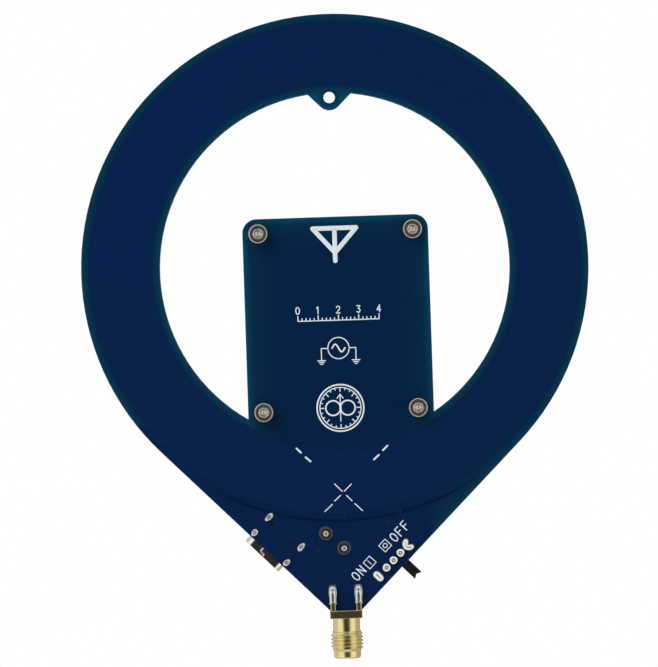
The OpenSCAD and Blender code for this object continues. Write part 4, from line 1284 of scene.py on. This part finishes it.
    def pin_joints(self) -> Piece:
        """Domed joints of the switch's three pins, each with a ring round the pin's end."""
        shape = Shape()
        profile = [(0.8, 0.0), (0.81, 0.16), (0.8, 0.3), (0.76, 0.37), (0.66, 0.44), (0.54, 0.51),
                   (0.47, 0.56), (0.43, 0.58), (0.4, 0.55), (0.38, 0.53), (0.25, 0.53), (0.2, 0.6),
                   (0.15, 0.65), (0.08, 0.69), (0.02, 0.7)]
        for k in (-1, 0, 1):
            uneven = self.wave(3, 0.03, 1.3 * k)
            shape.lathe(behind(self.switch), profile, 32, (self.pin_pitch * k, 0), shape=uneven)
        return shape.make("switch_pin_joints", SOLDER_TIN, stands_for=["switch_pin_solder"])

    def tab_joints(self) -> Piece:
        """Joints of the switch's two tabs: one bent like a bean, the other a straight lump."""
        shape = Shape()
        levels = ((1.0, 0.0), (0.97, 0.3), (0.88, 0.56), (0.72, 0.76), (0.52, 0.88), (0.3, 1.0), (0.06, 1.12))
        for side, off, lump in ((-1, -0.44, (0.76, 80.0, 0.72, 0.1)), (1, 0.18, (6.0, 4.6, 0.8, 0.0))):
            rings = [[(side * x, y, self.tab_height * level) for x, y in self.bean(share, *lump)]
                     for share, level in levels]
            shape.loft(behind(self.switch).moved(side * (self.tab_x + off), 0.0), rings)
        return shape.make("switch_tab_joints", SOLDER_TIN, stands_for=["switch_tab_solder"])

    def lead_joints(self) -> list[Piece]:
        """Tall cones of the battery's leads, with the clipped ends of the wires in their tops."""
        cones, tips = Shape(), Shape()
        cone = [(1.4, 0.0), (1.36, 0.05), (1.2, 0.12), (1.05, 0.2), (0.9, 0.4), (0.78, 0.66), (0.66, 0.86),
                (0.5, 0.96), (0.02, 0.98)]
        tip = [(0.56, 0.8), (0.55, 0.98), (0.46, 1.1), (0.34, 1.16), (0.2, 1.15), (0.14, 1.08), (0.02, 1.07)]
        fillet = [(0.95, 0.0), (0.85, 0.1), (0.66, 0.3), (0.5, 0.52), (0.02, 0.54)]
        for x, y in self.lead_pads:
            cones.lathe(SOLDER, cone, 40, (x, y), shape=self.wave(2, 0.02, x))
            tips.lathe(SOLDER, tip, 28, (x + 0.03, y - 0.02), shape=self.wave(2, 0.04, y))
            cones.lathe(PARTS, fillet, 32, (x, y))
        return [cones.make("battery_lead_joints", FLUXED_TIN, stands_for=["battery_lead_solder"]),
                tips.make("clipped_lead_ends", SOLDER_TIN)]

    def build(self) -> list[Piece]:
        """Makes the joints of the jack, the socket, the switch and the battery's leads."""
        return [self.jack_joints(), self.lug_joints(), self.pin_joints(), self.tab_joints(),
                *self.lead_joints()]


@dataclass
class ChargingSocket:
    """Bent steel shell with four lugs, a black moulding and its contacts."""

    seat: Seat
    width: float = 8.94
    height: float = 3.16
    length: float = 7.3
    wall: float = 0.3
    lug_x: float = 4.32
    lug_rows: tuple[Flat, ...] = ((2.55, 0.8), (6.73, 1.1))
    lug_low: float = -1.85
    notch_half: float = 3.27
    block: float = 2.0

    def section(self, inset: float) -> list[Flat]:
        """Outline of the shell, moved in by inset, about the socket's middle."""
        w, h = self.width - 2 * inset, self.height - 2 * inset
        return rounded(w, h, h / 2 - 0.001, 10)

    def build(self) -> list[Piece]:
        """Makes the shell and dresses what it holds."""
        shell, mid = Shape(), self.height / 2
        back, half, low = self.block - self.length, self.notch_half, -mid
        steps = [(-0.25, self.wall), (-0.04, self.wall - 0.03), (0.0, 0.18), (0.0, 0.1), (-0.05, 0.02),
                 (-0.14, 0.0), (back, 0.0), (back, self.wall)]
        tube = [upright(self.section(inset), y, (0.0, mid)) for y, inset in steps]
        shell.loft(self.seat, tube, closed=True)
        outer, inner = ([(x, z) for x, z in self.section(inset) if z > 0 or abs(x) > half]
                        for inset in (0.0, self.wall))
        start = next(k for k, (x, z) in enumerate(outer) if x > 0 and z < 0)
        outer, inner = outer[start:] + outer[:start], inner[start:] + inner[:start]
        inside = low + self.wall
        outline = [(half, low)] + outer + [(-half, low), (-half, inside)] + inner[::-1] + [(half, inside)]
        shell.loft(self.seat, [upright(outline, y, (0.0, mid)) for y in (back, -self.length)])
        for back_by, length in self.lug_rows:
            for side in (-1, 1):
                at = self.seat.moved(side * self.lug_x, -back_by)
                shell.prism(at, rounded(self.wall, length, 0.1, 2), self.lug_low, mid, foot=0.09)
        seam = [(0.0, -0.14), (0.0, -0.5), (0.16, -0.66), (0.76, -0.6), (0.94, -0.76), (0.94, -1.5)]
        ridge = [(-0.16, 0.01), (-0.12, -0.01), (-0.02, -0.06), (0.02, -0.06), (0.12, -0.01), (0.16, 0.01)]
        shell.sweep(self.seat, raised(seam, 0.0), ridge)
        return [shell.make("socket_shell", STAINLESS, stands_for=["usb_shell"]),
                dress("usb_moulding", BLACK_MOULDING, 0.04), dress("usb_contacts", CONTACT_GOLD)]


@dataclass
class SlideSwitch:
    """Bent steel frame on a brown base, with a black slider that bridges two of three terminals."""

    seat: Seat
    travel: float = 2.0
    foot: tuple[float, float, float] = (4.78, -0.63, 1.43)
    foot_z: Flat = (1.6, 3.58)
    lever: Flat = (1.86, 5.83)
    lever_z: Flat = (1.69, 3.49)
    notch: Flat = (1.6, 0.45)
    root: float = 0.5

    def slider(self) -> Piece:
        """Foot inside the frame, and the lever with the notch that gives a fingernail its hold."""
        shape, at = Shape(), self.seat.moved(-self.travel / 2, 0)
        long, back, front = self.foot
        shape.prism(at, rectangle(long, front - back, (0.0, (front + back) / 2)), *self.foot_z)
        half, end, open_half, root = self.lever[0] / 2, self.lever[1], self.notch[0] / 2, front - self.root
        shape.prism(at, [(-half, root), (half, root), (half, end), (open_half, end), (0, end - self.notch[1]),
                         (-open_half, end), (-half, end)], *self.lever_z)
        return shape.make("slider_with_lever", BLACK_MOULDING, LEVER_BODY, ["switch_slider"], 0.07)

    def build(self) -> list[Piece]:
        """Makes the slider, rounds the frame and the base, and dresses the metal inside."""
        return [dress("switch_frame", NICKEL, 0.1), dress("switch_base", BROWN_MOULDING, 0.05),
                dress("switch_terminals", CONTACT_GOLD), dress("switch_wiper", CONTACT_GOLD), self.slider()]


@dataclass
class Battery:
    """Pouch cell with its protection board, tape, foam and leads."""

    middle: float = 0.3
    width: float = 24.96
    low: float = -25.0
    high: float = 7.0
    bottom: float = 2.7
    top: float = 7.2
    tape_low: float = -29.4
    tape_lap: float = 3.0
    tape_t: float = 0.12
    guard: tuple[float, float, float, float] = (21.96, 3.4, 0.8, 4.15)
    guard_top: float = -25.4
    tab_w: float = 3.0
    tab_t: float = 0.12
    tab_across: float = 15.96
    foam_t: float = 0.8
    foam_inset: float = 2.0
    lead_d: float = 1.2
    lead_bend: float = 4.0

    def lead_route(self, start: Flat, pad: Flat, steps: int = 14) -> list[Point]:
        """Middle line of a lead, from the protection board to its hole in the tail.

        Args:
            start: Where it leaves the protection board.
            pad: Where its hole is.
            steps: Points on each of its two curves.

        Returns:
            Points along it.
        """
        d, bend = self.lead_d, Vector((0, self.lead_bend, 0.3))
        first = Vector((start[0], start[1] - d, self.guard[3] - d / 2 - 0.02))
        x, y = (a + 0.55 * (b - a) for a, b in zip(start, pad))
        low, end = Vector((x, y, d / 2 + 0.3)), Vector((*pad, 0.7))
        over = end + Vector((0, 0, d / 2))
        down = [first, first - Vector((0, self.lead_bend, 0)), low + bend, low]
        into = [low, low - bend, over + Vector((0, 0, 3)), over]
        points = [first + Vector((0, 2 * d, 0))]
        points += [cubic(down, k / steps) for k in range(steps)]
        points += [cubic(into, k / steps) for k in range(steps + 1)]
        return [tuple(p) for p in points]

    def cell(self) -> Piece:
        """Pouch with soft edges, a crown on both faces and its side seals folded up."""
        shape, seal = Shape(), 0.9
        length, height, centre = self.high - self.low, self.top - self.bottom, (self.low + self.high) / 2
        rings = []
        for share, inset in ((0.0, 2.4), (0.02, 1.4), (0.08, 0.6), (0.2, 0.15), (0.35, 0.0), (0.65, 0.0),
                             (0.8, 0.15), (0.92, 0.6), (0.98, 1.4), (1.0, 2.4)):
            outline = rounded(self.width - seal - 2 * inset, length - 2 * inset, max(0.5, 2.2 - inset))
            rings.append(raised(outline, self.bottom + 0.05 + (height - 0.1) * share))
        shape.loft(PARTS.moved(self.middle, centre), rings)
        for side in (-1, 1):
            wall = self.middle + side * (self.width / 2 - 0.2)
            path = [(wall + side * 0.05 * math.sin(k * 1.9), self.low + 0.6 + (length - 1.6) * k / 32,
                     self.bottom + 2.0 + 0.12 * math.sin(k * 1.3)) for k in range(33)]
            shape.sweep(PARTS, path, rounded(0.22, 3.2, 0.1, 2))
        shape.prism(PARTS.moved(self.middle, self.low - 0.3), rounded(self.width - 3, 1.6, 0.2, 2), 4.8, 5.1)
        return shape.make("pouch_cell", POUCH_FOIL, stands_for=["battery_cell"])

    def tape(self) -> Piece:
        """Polyimide wound round the terminal end, with its lap and its soft ends."""
        shape, mid = Shape(), (self.bottom + self.top) / 2
        w, h = self.width + 0.04, self.top - self.bottom + 0.04
        steps = [(self.tape_low, -0.25), (self.tape_low + 0.5, -0.06), (self.low, 0.0),
                 (self.low + self.tape_lap, 0.0)]
        rings = []
        for row, thick, corner in ((steps, self.tape_t, 0.9), (steps[::-1], 0.0, 0.8)):
            for y, grow in row:
                more = 2 * (thick + grow)
                rings.append(upright(rounded(w + more, h + more, corner), y, (self.middle, mid)))
        shape.loft(PARTS, rings, closed=True)
        return shape.make("polyimide_wrap", POLYIMIDE, stands_for=["battery_tape"])

    def guard_board(self) -> list[Piece]:
        """Protection board with two small chips, and the tabs welded to it."""
        board, chips, tabs = Shape(), Shape(), Shape()
        w, length, t, z = self.guard
        y = self.guard_top - length / 2
        board.prism(PARTS.moved(self.middle, y), rounded(w, length, 0.3, 3), z, z + t, 0.05, 0.05)
        for side in (-1, 1):
            at = PARTS.moved(self.middle + side * 1.7, y)
            chips.prism(at, rounded(2.4, 1.4, 0.08, 2), z + t, z + t + 0.8, 0.12)
            for k in (-1, 0, 1):
                for edge in (-1, 1):
                    foot = at.moved(0.8 * k, edge * 0.95)
                    chips.prism(foot, rounded(0.34, 0.5, 0.05, 2), z + t, z + t + 0.12)
            x = self.middle + side * self.tab_across / 2
            strip = rectangle(self.tab_w, self.tab_t, (0.0, self.tab_t / 2))
            steps = ((0.0, 0.0), (0.3, 0.0), (0.5, 0.04), (1.4, 0.05), (2.0, 0.05), (2.2, 0.02), (2.5, 0.0))
            rings = [upright(strip, self.low + 0.3 - back, (x, z + t + lift)) for back, lift in steps]
            tabs.loft(PARTS, rings)
        return [board.make("protection_board", GREEN_MASK, stands_for=["battery_guard_board"]),
                chips.make("protection_chips", CHIP_EPOXY),
                tabs.make("nickel_tabs", NICKEL, stands_for=["battery_tabs"])]

    def build(self) -> list[Piece]:
        """Makes the cell with everything on it, and both leads."""
        made = [self.cell(), self.tape(), *self.guard_board()]
        foam = Shape()
        low = self.low + self.tape_lap + self.foam_inset / 2
        high = self.high - self.foam_inset
        outline = rounded(self.width - 2 * self.foam_inset, high - low, 0.3, 3)
        seat = PARTS.moved(self.middle, (low + high) / 2)
        foam.prism(seat, outline, self.top, self.top + self.foam_t, 0.06, 0.06)
        made.append(foam.make("foam_tape", FOAM, stands_for=["battery_foam"]))
        ends = Shape()
        for name, finish, start, pad in (
                ("battery_lead_positive", RED_SILICONE, (-2.2, -28.8), LEAD_PADS[0]),
                ("battery_lead_negative", BLACK_SILICONE, (2.8, -28.8), LEAD_PADS[1])):
            lead, route = Shape(), self.lead_route(start, pad)
            lead.sweep(PARTS, route[:-3], circle(self.lead_d / 2, 20), steady=(1.0, 0.0, 0.0))
            ends.sweep(PARTS, route[-5:] + [(pad[0], pad[1], 0.2)], circle(0.34, 14), steady=(1.0, 0.0, 0.0))
            made.append(lead.make(name + "_wire", finish, stands_for=[name]))
        made.append(ends.make("bared_lead_ends", TINNED))
        return made


@dataclass
class Fasteners:
    """Eight socket-head screws, four hexagonal standoffs and the cover that they hold."""

    holes: Sequence[Flat]
    head_r: float = 1.9
    head_h: float = 2.0
    hex_af: float = 1.5
    hex_depth: float = 0.24
    knurls: int = 36
    knurl_depth: float = 0.07
    rear_turns: Flat = (17.0, 23.0)
    front_turn: float = 31.0
    standoff_af: float = 3.5
    standoff_len: float = 8.0

    def hexagon(self, angle: float, across: float) -> float:
        """Distance from the middle of a hexagon to its wall, with a corner along x."""
        part = (angle % (math.pi / 3)) - math.pi / 6
        return across / 2 / math.cos(part)

    def head(self, shape: Shape, seat: Seat) -> None:
        """Knurled head with a bevelled rim and a hexagonal socket that ends in a drilled cone.

        Args:
            shape: The piece that it becomes part of.
            seat: The middle of the head's underside.
        """
        r, top, low = self.head_r, self.head_h, self.head_h - self.hex_depth

        def knurled(angle: float) -> float:
            """Radius of the rim, where every other point lies in a groove."""
            return r - self.knurl_depth * (round(angle * self.knurls / math.pi) % 2)

        def hexagonal(angle: float) -> float:
            """Radius of the socket."""
            return self.hexagon(angle, self.hex_af)

        steps = ((r - 0.15, 0.0), (knurled, 0.14), (knurled, top - 0.3), (r - 0.02, top - 0.22),
                 (r - 0.04, top - 0.14), (r - 0.17, top - 0.03), (r - 0.24, top), (0.98, top - 0.01),
                 (0.92, top - 0.04), (hexagonal, top - 0.1), (hexagonal, low), (0.68, low - 0.01),
                 (0.4, low - 0.12), (0.3, low - 0.16), (0.02, low - 0.29))
        shape.loft(seat, [raised(circle(radius, 2 * self.knurls), z) for radius, z in steps])

    def standoff(self, shape: Shape, seat: Seat) -> None:
        """Hexagonal bar whose ends are turned to a cone."""
        ends = ((0.0, 1.68), (0.12, 1.86), (0.3, 2.1))

        def bar(angle: float, limit: float) -> float:
            """Radius of the bar, cut back to the cone."""
            return min(limit, self.hexagon(angle, self.standoff_af))

        steps = ends + tuple((self.standoff_len - z, limit) for z, limit in ends[::-1])
        shape.loft(seat, [raised(circle(partial(bar, limit=limit), 48), z) for z, limit in steps])

    def build(self) -> list[Piece]:
        """Makes the screws and standoffs, and dresses the cover."""
        rear, front, posts = Shape(), Shape(), Shape()
        for k, hole in enumerate(self.holes):
            first, more = self.rear_turns
            self.head(rear, SOLDER.moved(*hole, turn=first + more * k))
            self.head(front, PARTS.moved(*hole, turn=self.front_turn * k, lift=COVER_TOP))
            self.standoff(posts, PARTS.moved(*hole))
        return [rear.make("board_screws", SCREW_STEEL, stands_for=["rear_screws"]),
                front.make("cover_plate_screws", SCREW_STEEL, stands_for=["cover_screws"]),
                posts.make("hex_standoffs", BRASS, stands_for=["standoffs"]),
                dress("cover_plate", MASK, 0.05)]


@dataclass
class Electronics:
    """Amplifier, charger and the small parts round them."""

    usb: Seat
    amp_size: Point = (3.9, 4.9, 1.5)
    charger_size: Point = (1.6, 2.9, 1.1)
    bulk_size: Point = (3.5, 2.8, 1.9)
    small_size: Point = (1.6, 0.8, 0.5)
    resistors: tuple[Point, ...] = ((-5.2, 5.4, 0), (-5.2, 4, 0), (5.2, 5.4, 0), (2.2, 17.2, 0),
                                    (-4.6, 12, 90))
    capacitors: tuple[Point, ...] = ((4.6, 4, 0), (-0.8, 17.2, 0), (9.6, 16.8, 45), (-7.6, 12.2, 45))
    lamps: tuple[float, ...] = (-6.87, -9.47)

    def chip(self, name: str, node: str, at: Flat, size: Point) -> Piece:
        """Moulded body with drafted sides and the dimple that marks its first lead.

        Args:
            name: The piece's name.
            node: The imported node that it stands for.
            at: Its place.
            size: Width, length and height.

        Returns:
            The piece.
        """
        w, length, h = size
        seat, shape, mid = on_tail(at), Shape(), h * 0.52
        rings = []
        for z, inset in ((0.1, 0.14), (mid, 0.0), (mid + 0.03, 0.0), (h - 0.06, 0.13), (h, 0.19)):
            rings.append(raised(rounded(w - 2 * inset, length - 2 * inset, 0.08, 2), z))
        shape.loft(seat, rings)
        spot = (-w / 2 + 0.62 * w / 3.0, length / 2 - 0.22 * w)
        r = 0.1 * w
        shape.lathe(seat, [(r, h - 0.05), (r, h + 0.004), (0.8 * r, h + 0.006), (0.7 * r, h + 0.001),
                           (0.02, h + 0.001)], 20, spot)
        return shape.make(name, CHIP_EPOXY, stands_for=[node])

    def leads(self, name: str, node: str, at: Flat, size: Point, span: float, counts: Flat, pitches: Flat,
              width: float) -> Piece:
        """Rows of gull-wing leads, each on its own fillet of tin.

        Args:
            name: The piece's name.
            node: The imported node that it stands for.
            at: Place of the chip.
            size: Width, length and height of the chip.
            span: Width over the leads.
            counts: Leads on each side.
            pitches: Their pitch on each side.
            width: Width of a lead.

        Returns:
            The piece.
        """
        shape, seat = Shape(), on_tail(at)
        body, tall, t = size[0] / 2, size[2] * 0.55, 0.15
        reach = span / 2
        side_view = [(body - 0.1, tall), (body + 0.18, tall), (body + 0.27, tall - 0.08),
                     (reach - 0.62, 0.22), (reach - 0.5, 0.09), (reach - 0.36, 0.08), (reach - 0.02, 0.08)]
        for side, count, pitch in zip((1, -1), counts, pitches):
            for k in range(int(count)):
                y = (k - (count - 1) / 2) * pitch
                path = [(side * x, y, z) for x, z in side_view]
                shape.sweep(seat, path, rounded(t, width, 0.04, 1), steady=(0.0, 1.0, 0.0))
                foot = seat.moved(side * (reach - 0.28), y)
                shape.prism(foot, rounded(0.85, width + 0.16, 0.15, 3), -0.01, 0.05, 0.04)
        return shape.make(name, TINNED, stands_for=[node])

    def small_parts(self) -> list[Piece]:
        """Chip resistors and capacitors with their tinned ends and fillets."""
        bodies, glaze, blocks, ends = Shape(), Shape(), Shape(), Shape()
        long, wide, flat = self.small_size
        cap = 0.32
        for group, places in ((bodies, self.resistors), (blocks, self.capacitors)):
            high = flat if group is bodies else wide
            for place in places:
                seat = on_tail(place, place[2])
                group.prism(seat, rounded(long - 0.3, wide - 0.04, 0.04, 1), 0.03, high - 0.03, 0.03)
                if group is bodies:
                    glazed = rounded(long - 0.5, wide - 0.1, 0.06, 2)
                    glaze.prism(seat, glazed, high - 0.04, high - 0.005, 0.02)
                for side in (-1, 1):
                    end = seat.moved(side * (long - cap) / 2, 0)
                    ends.prism(end, rounded(cap, wide, 0.05, 2), 0.0, high, 0.04)
                    foot = seat.moved(side * (long / 2 + 0.04), 0)
                    ends.prism(foot, rounded(0.5, wide + 0.14, 0.12, 3), -0.01, 0.14, 0.12)
        return [bodies.make("resistor_bodies", ALUMINA, stands_for=["chip_resistors"]),
                glaze.make("resistor_glaze", OVERGLAZE),
                blocks.make("capacitor_blocks", CERAMIC, stands_for=["chip_capacitors"]),
                ends.make("tinned_end_caps", PAD_TIN)]

    def bulk(self) -> list[Piece]:
        """Moulded capacitor with its polarity bar and its folded ends."""
        case, bar, ends = Shape(), Shape(), Shape()
        long, wide, high = self.bulk_size
        seat = on_tail(BULK_AT)
        rings = [raised(rounded(long - 0.16 - 2 * inset, wide - 2 * inset, 0.1, 2), z)
                 for z, inset in ((0.12, 0.08), (0.9, 0.0), (high - 0.1, 0.09), (high, 0.17))]
        case.loft(seat, rings)
        marked = seat.moved(-long / 2 + 0.66, 0)
        bar.prism(marked, rounded(0.5, wide - 0.42, 0.04, 2), high - 0.06, high + 0.008)
        for side in (-1, 1):
            path = [(side * (long / 2 - 0.7), 0, 0.06), (side * (long / 2 - 0.12), 0, 0.06),
                    (side * (long / 2 - 0.04), 0, 0.14), (side * (long / 2 - 0.04), 0, 0.95)]
            ends.sweep(seat, path, rounded(0.1, 2.2, 0.03, 1), steady=(0.0, 1.0, 0.0))
            ends.prism(seat.moved(side * (long / 2 + 0.1), 0), rounded(0.9, 2.4, 0.2, 3), -0.01, 0.08, 0.07)
        return [case.make("bulk_capacitor_case", TANTALUM_CASE, stands_for=["bulk_capacitor"]),
                bar.make("polarity_bar", POLARITY_BAR), ends.make("bulk_capacitor_ends", TINNED)]

    def lamp_pair(self) -> list[Piece]:
        """Two lamps: a white base with tinned ends, and clear resin over it."""
        base, lens, ends = Shape(), Shape(), Shape()
        long, wide, high = self.small_size
        for x in self.lamps:
            seat = self.usb.moved(x, -3.0, 90)
            base.prism(seat, rounded(long, wide, 0.04, 1), 0.02, 0.2)
            lens.prism(seat, rounded(long - 0.5, wide - 0.06, 0.08, 2), 0.2, high, 0.07)
            for side in (-1, 1):
                end, foot = (seat.moved(side * (long / 2 + off), 0) for off in (-0.12, 0.04))
                ends.prism(end, rounded(0.26, wide + 0.01, 0.03, 1), 0.0, 0.24)
                ends.prism(foot, rounded(0.5, wide + 0.12, 0.12, 3), -0.01, 0.1, 0.09)
        return [base.make("lamp_bases", ALUMINA, stands_for=["charge_lamps"]),
                lens.make("lamp_lenses", LAMP_RESIN), ends.make("lamp_ends", PAD_TIN)]

    def build(self) -> list[Piece]:
        """Makes every part on the tail."""
        amp, charger = (AMPLIFIER_AT, self.amp_size), (CHARGER_AT, self.charger_size)
        return [self.chip("amplifier_body", "amplifier_chip", *amp),
                self.leads("amplifier_gull_leads", "amplifier_leads", *amp, 6.0, (4, 4), (1.27, 1.27), 0.42),
                self.chip("charger_body", "charger_chip", *charger),
                self.leads("charger_gull_leads", "charger_leads", *charger, 2.8, (3, 2), (0.95, 1.9), 0.38),
                *self.bulk(), *self.lamp_pair(), *self.small_parts()]


@dataclass
class Studio:
    """Pale floor, soft lamps and the camera at the photograph's angle."""

    picture: Flat = (658.0, 667.0)
    ring_pixel: Flat = (334.8, 267.4)
    pixels_per_mm: float = 5.075
    roll: float = 1.9
    distance: float = 650.0
    sensor: float = 36.0
    floor_low: float = -15.0
    floor_r: float = 900.0
    floor_colour: str = "#eeeeee"
    shadow_r: Flat = (60.0, 130.0)
    white_share: Flat = (0.6, 1.0)
    aim: Point = (0.0, 0.0, 65.0)
    white: Colour = (1.0, 1.0, 1.0, 1.0)
    front_tent: Colour = (0.74, 0.75, 0.75, 1.0)
    rear_left: Colour = (0.5, 0.5, 0.5, 1.0)
    rear_right: Colour = (0.34, 0.34, 0.32, 1.0)
    dark: Colour = (0.021, 0.019, 0.014, 1.0)
    patch_shape: Point = (1.05, 0.0, 0.75)
    patch_edge: Flat = (0.62, 0.45)
    rear_patch: Flat = (-0.82, -0.95)
    rear_depth: Flat = (0.0, 0.8)
    turn_to_front: Flat = (0.05, 0.32)
    gloss_gain: float = 1.4

    def camera(self) -> None:
        """Looks straight at the soldered face, with the object leaning as in the photograph."""
        lean = math.radians(self.roll)
        dx = self.picture[0] / 2 - self.ring_pixel[0]
        dy = self.ring_pixel[1] - self.picture[1] / 2
        x = (dx * math.cos(lean) + dy * math.sin(lean)) / self.pixels_per_mm
        z = (dy * math.cos(lean) - dx * math.sin(lean)) / self.pixels_per_mm + PLACE.ring_z
        data = bpy.data.cameras.new("camera")
        data.sensor_width = self.sensor
        data.lens = self.sensor * self.distance * self.pixels_per_mm / max(self.picture)
        camera = placed("camera", data)
        camera.location = Vector((x, -PLACE.solder_face - self.distance, z)) * MM
        camera.rotation_euler = (math.radians(90), lean, 0)
        bpy.context.scene.camera = camera

    def floor(self) -> None:
        """Round pale floor that fades into the backdrop and keeps a soft shadow."""
        mesh = bmesh.new()
        ring = [mesh.verts.new(Vector((x, y, self.floor_low)) * MM) for x, y in circle(self.floor_r, 96)]
        mesh.faces.new(ring)
        data = bpy.data.meshes.new("floor")
        mesh.to_mesh(data)
        mesh.free()
        floor = placed("floor", data)
        paint = bpy.data.materials.new("pale_paper")
        tree = emptied(paint)
        plain = add(tree, "ShaderNodeBsdfDiffuse", {"Color": linear(self.floor_colour)})
        light = add(tree, "ShaderNodeEmission", {"Color": self.white, "Strength": 1.0})
        to_camera = add(tree, "ShaderNodeLightPath").node.outputs["Is Camera Ray"]
        place = add(tree, "ShaderNodeTexCoord").node.outputs["Object"]
        away = vectors(tree, "LENGTH", place)
        fade = ramp(tree, away, *(r * MM for r in self.shadow_r), self.white_share, smooth=True)
        share = maths(tree, "MULTIPLY", to_camera, fade)
        mixed = add(tree, "ShaderNodeMixShader", {0: share, 1: plain, 2: light})
        add(tree, "ShaderNodeOutputMaterial", {"Surface": mixed})
        data.materials.append(paint)
        floor.visible_glossy = False
        floor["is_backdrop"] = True

    def world(self) -> None:
        """White backdrop for the eye, even light for colours, and a dim patch at the camera for gloss."""
        world = bpy.data.worlds.new("studio")
        bpy.context.scene.world = world
        tree = emptied(world)
        way = add(tree, "ShaderNodeTexCoord").node.outputs["Generated"]
        ahead = vectors(tree, "DOT_PRODUCT", way, (0, -1, 0))
        wide = vectors(tree, "LENGTH", vectors(tree, "MULTIPLY", way, self.patch_shape))
        front = maths(tree, "MULTIPLY", ramp(tree, wide, *self.patch_edge, smooth=True),
                      maths(tree, "GREATER_THAN", ahead, 0.0))
        back = ramp(tree, ahead, *self.rear_patch, self.rear_depth, smooth=True)
        patch = maths(tree, "MAXIMUM", front, back)
        across = ramp(tree, vectors(tree, "DOT_PRODUCT", way, (1, 0, 0)), -0.6, 0.6)
        rear = blend(tree, across, self.rear_left, self.rear_right)
        tent = blend(tree, ramp(tree, ahead, *self.turn_to_front, smooth=True), rear, self.front_tent)
        tent = blend(tree, patch, tent, self.dark)
        rays = add(tree, "ShaderNodeLightPath").node.outputs
        tent = blend(tree, rays["Is Glossy Ray"], tent, vectors(tree, "SCALE", tent, self.gloss_gain))
        seen = maths(tree, "MAXIMUM", rays["Is Camera Ray"], rays["Is Transmission Ray"])
        colour = blend(tree, seen, tent, self.white)
        light = add(tree, "ShaderNodeBackground", {"Color": colour, "Strength": 1.0})
        add(tree, "ShaderNodeOutputWorld", {"Surface": light})

    def lamp(self, name: str, place: Point, size: float, watts: float) -> None:
        """Soft square lamp that looks at the middle of the object.

        Args:
            name: The lamp's name.
            place: Where it stands, in millimetres.
            size: Its side, in millimetres.
            watts: Its power.
        """
        data = bpy.data.lights.new(name, "AREA")
        data.size, data.energy = size * MM, watts
        lamp = placed(name, data)
        lamp.visible_glossy = False
        lamp.location = Vector(place) * MM
        look = Vector(self.aim) * MM - lamp.location
        lamp.rotation_euler = look.to_track_quat("-Z", "Y").to_euler()

    def build(self) -> None:
        """Sets up everything that isn't part of the object."""
        scene = bpy.context.scene
        scene.view_settings.view_transform = "Standard"
        self.camera()
        self.floor()
        self.world()
        self.lamp("key", (-560, -400, 640), 620, 6.2)
        self.lamp("fill", (460, 560, 520), 760, 6.5)


def main() -> None:
    """Builds the studio and every sub-assembly, and reports each piece."""
    logging.basicConfig(level=logging.INFO, format="%(name)s: %(message)s")
    Studio().build()
    dress("main_board", MASK)
    parts = (Winding(), Routing(), Printing(), Jack(), Soldering(USB_SEAT, SWITCH_SEAT, LEAD_PADS),
             ChargingSocket(USB_SEAT), SlideSwitch(SWITCH_SEAT), Battery(), Fasteners(SCREW_HOLES),
             Electronics(USB_SEAT))
    for part in parts:
        for piece in part.build():
            LOG.info("%s: %s, %d faces", type(part).__name__, piece.name, len(piece.data.polygons))
    [[list(corner) for corner in box] for box in (CAD_BOX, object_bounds())]


if __name__ == "__main__":
    main()
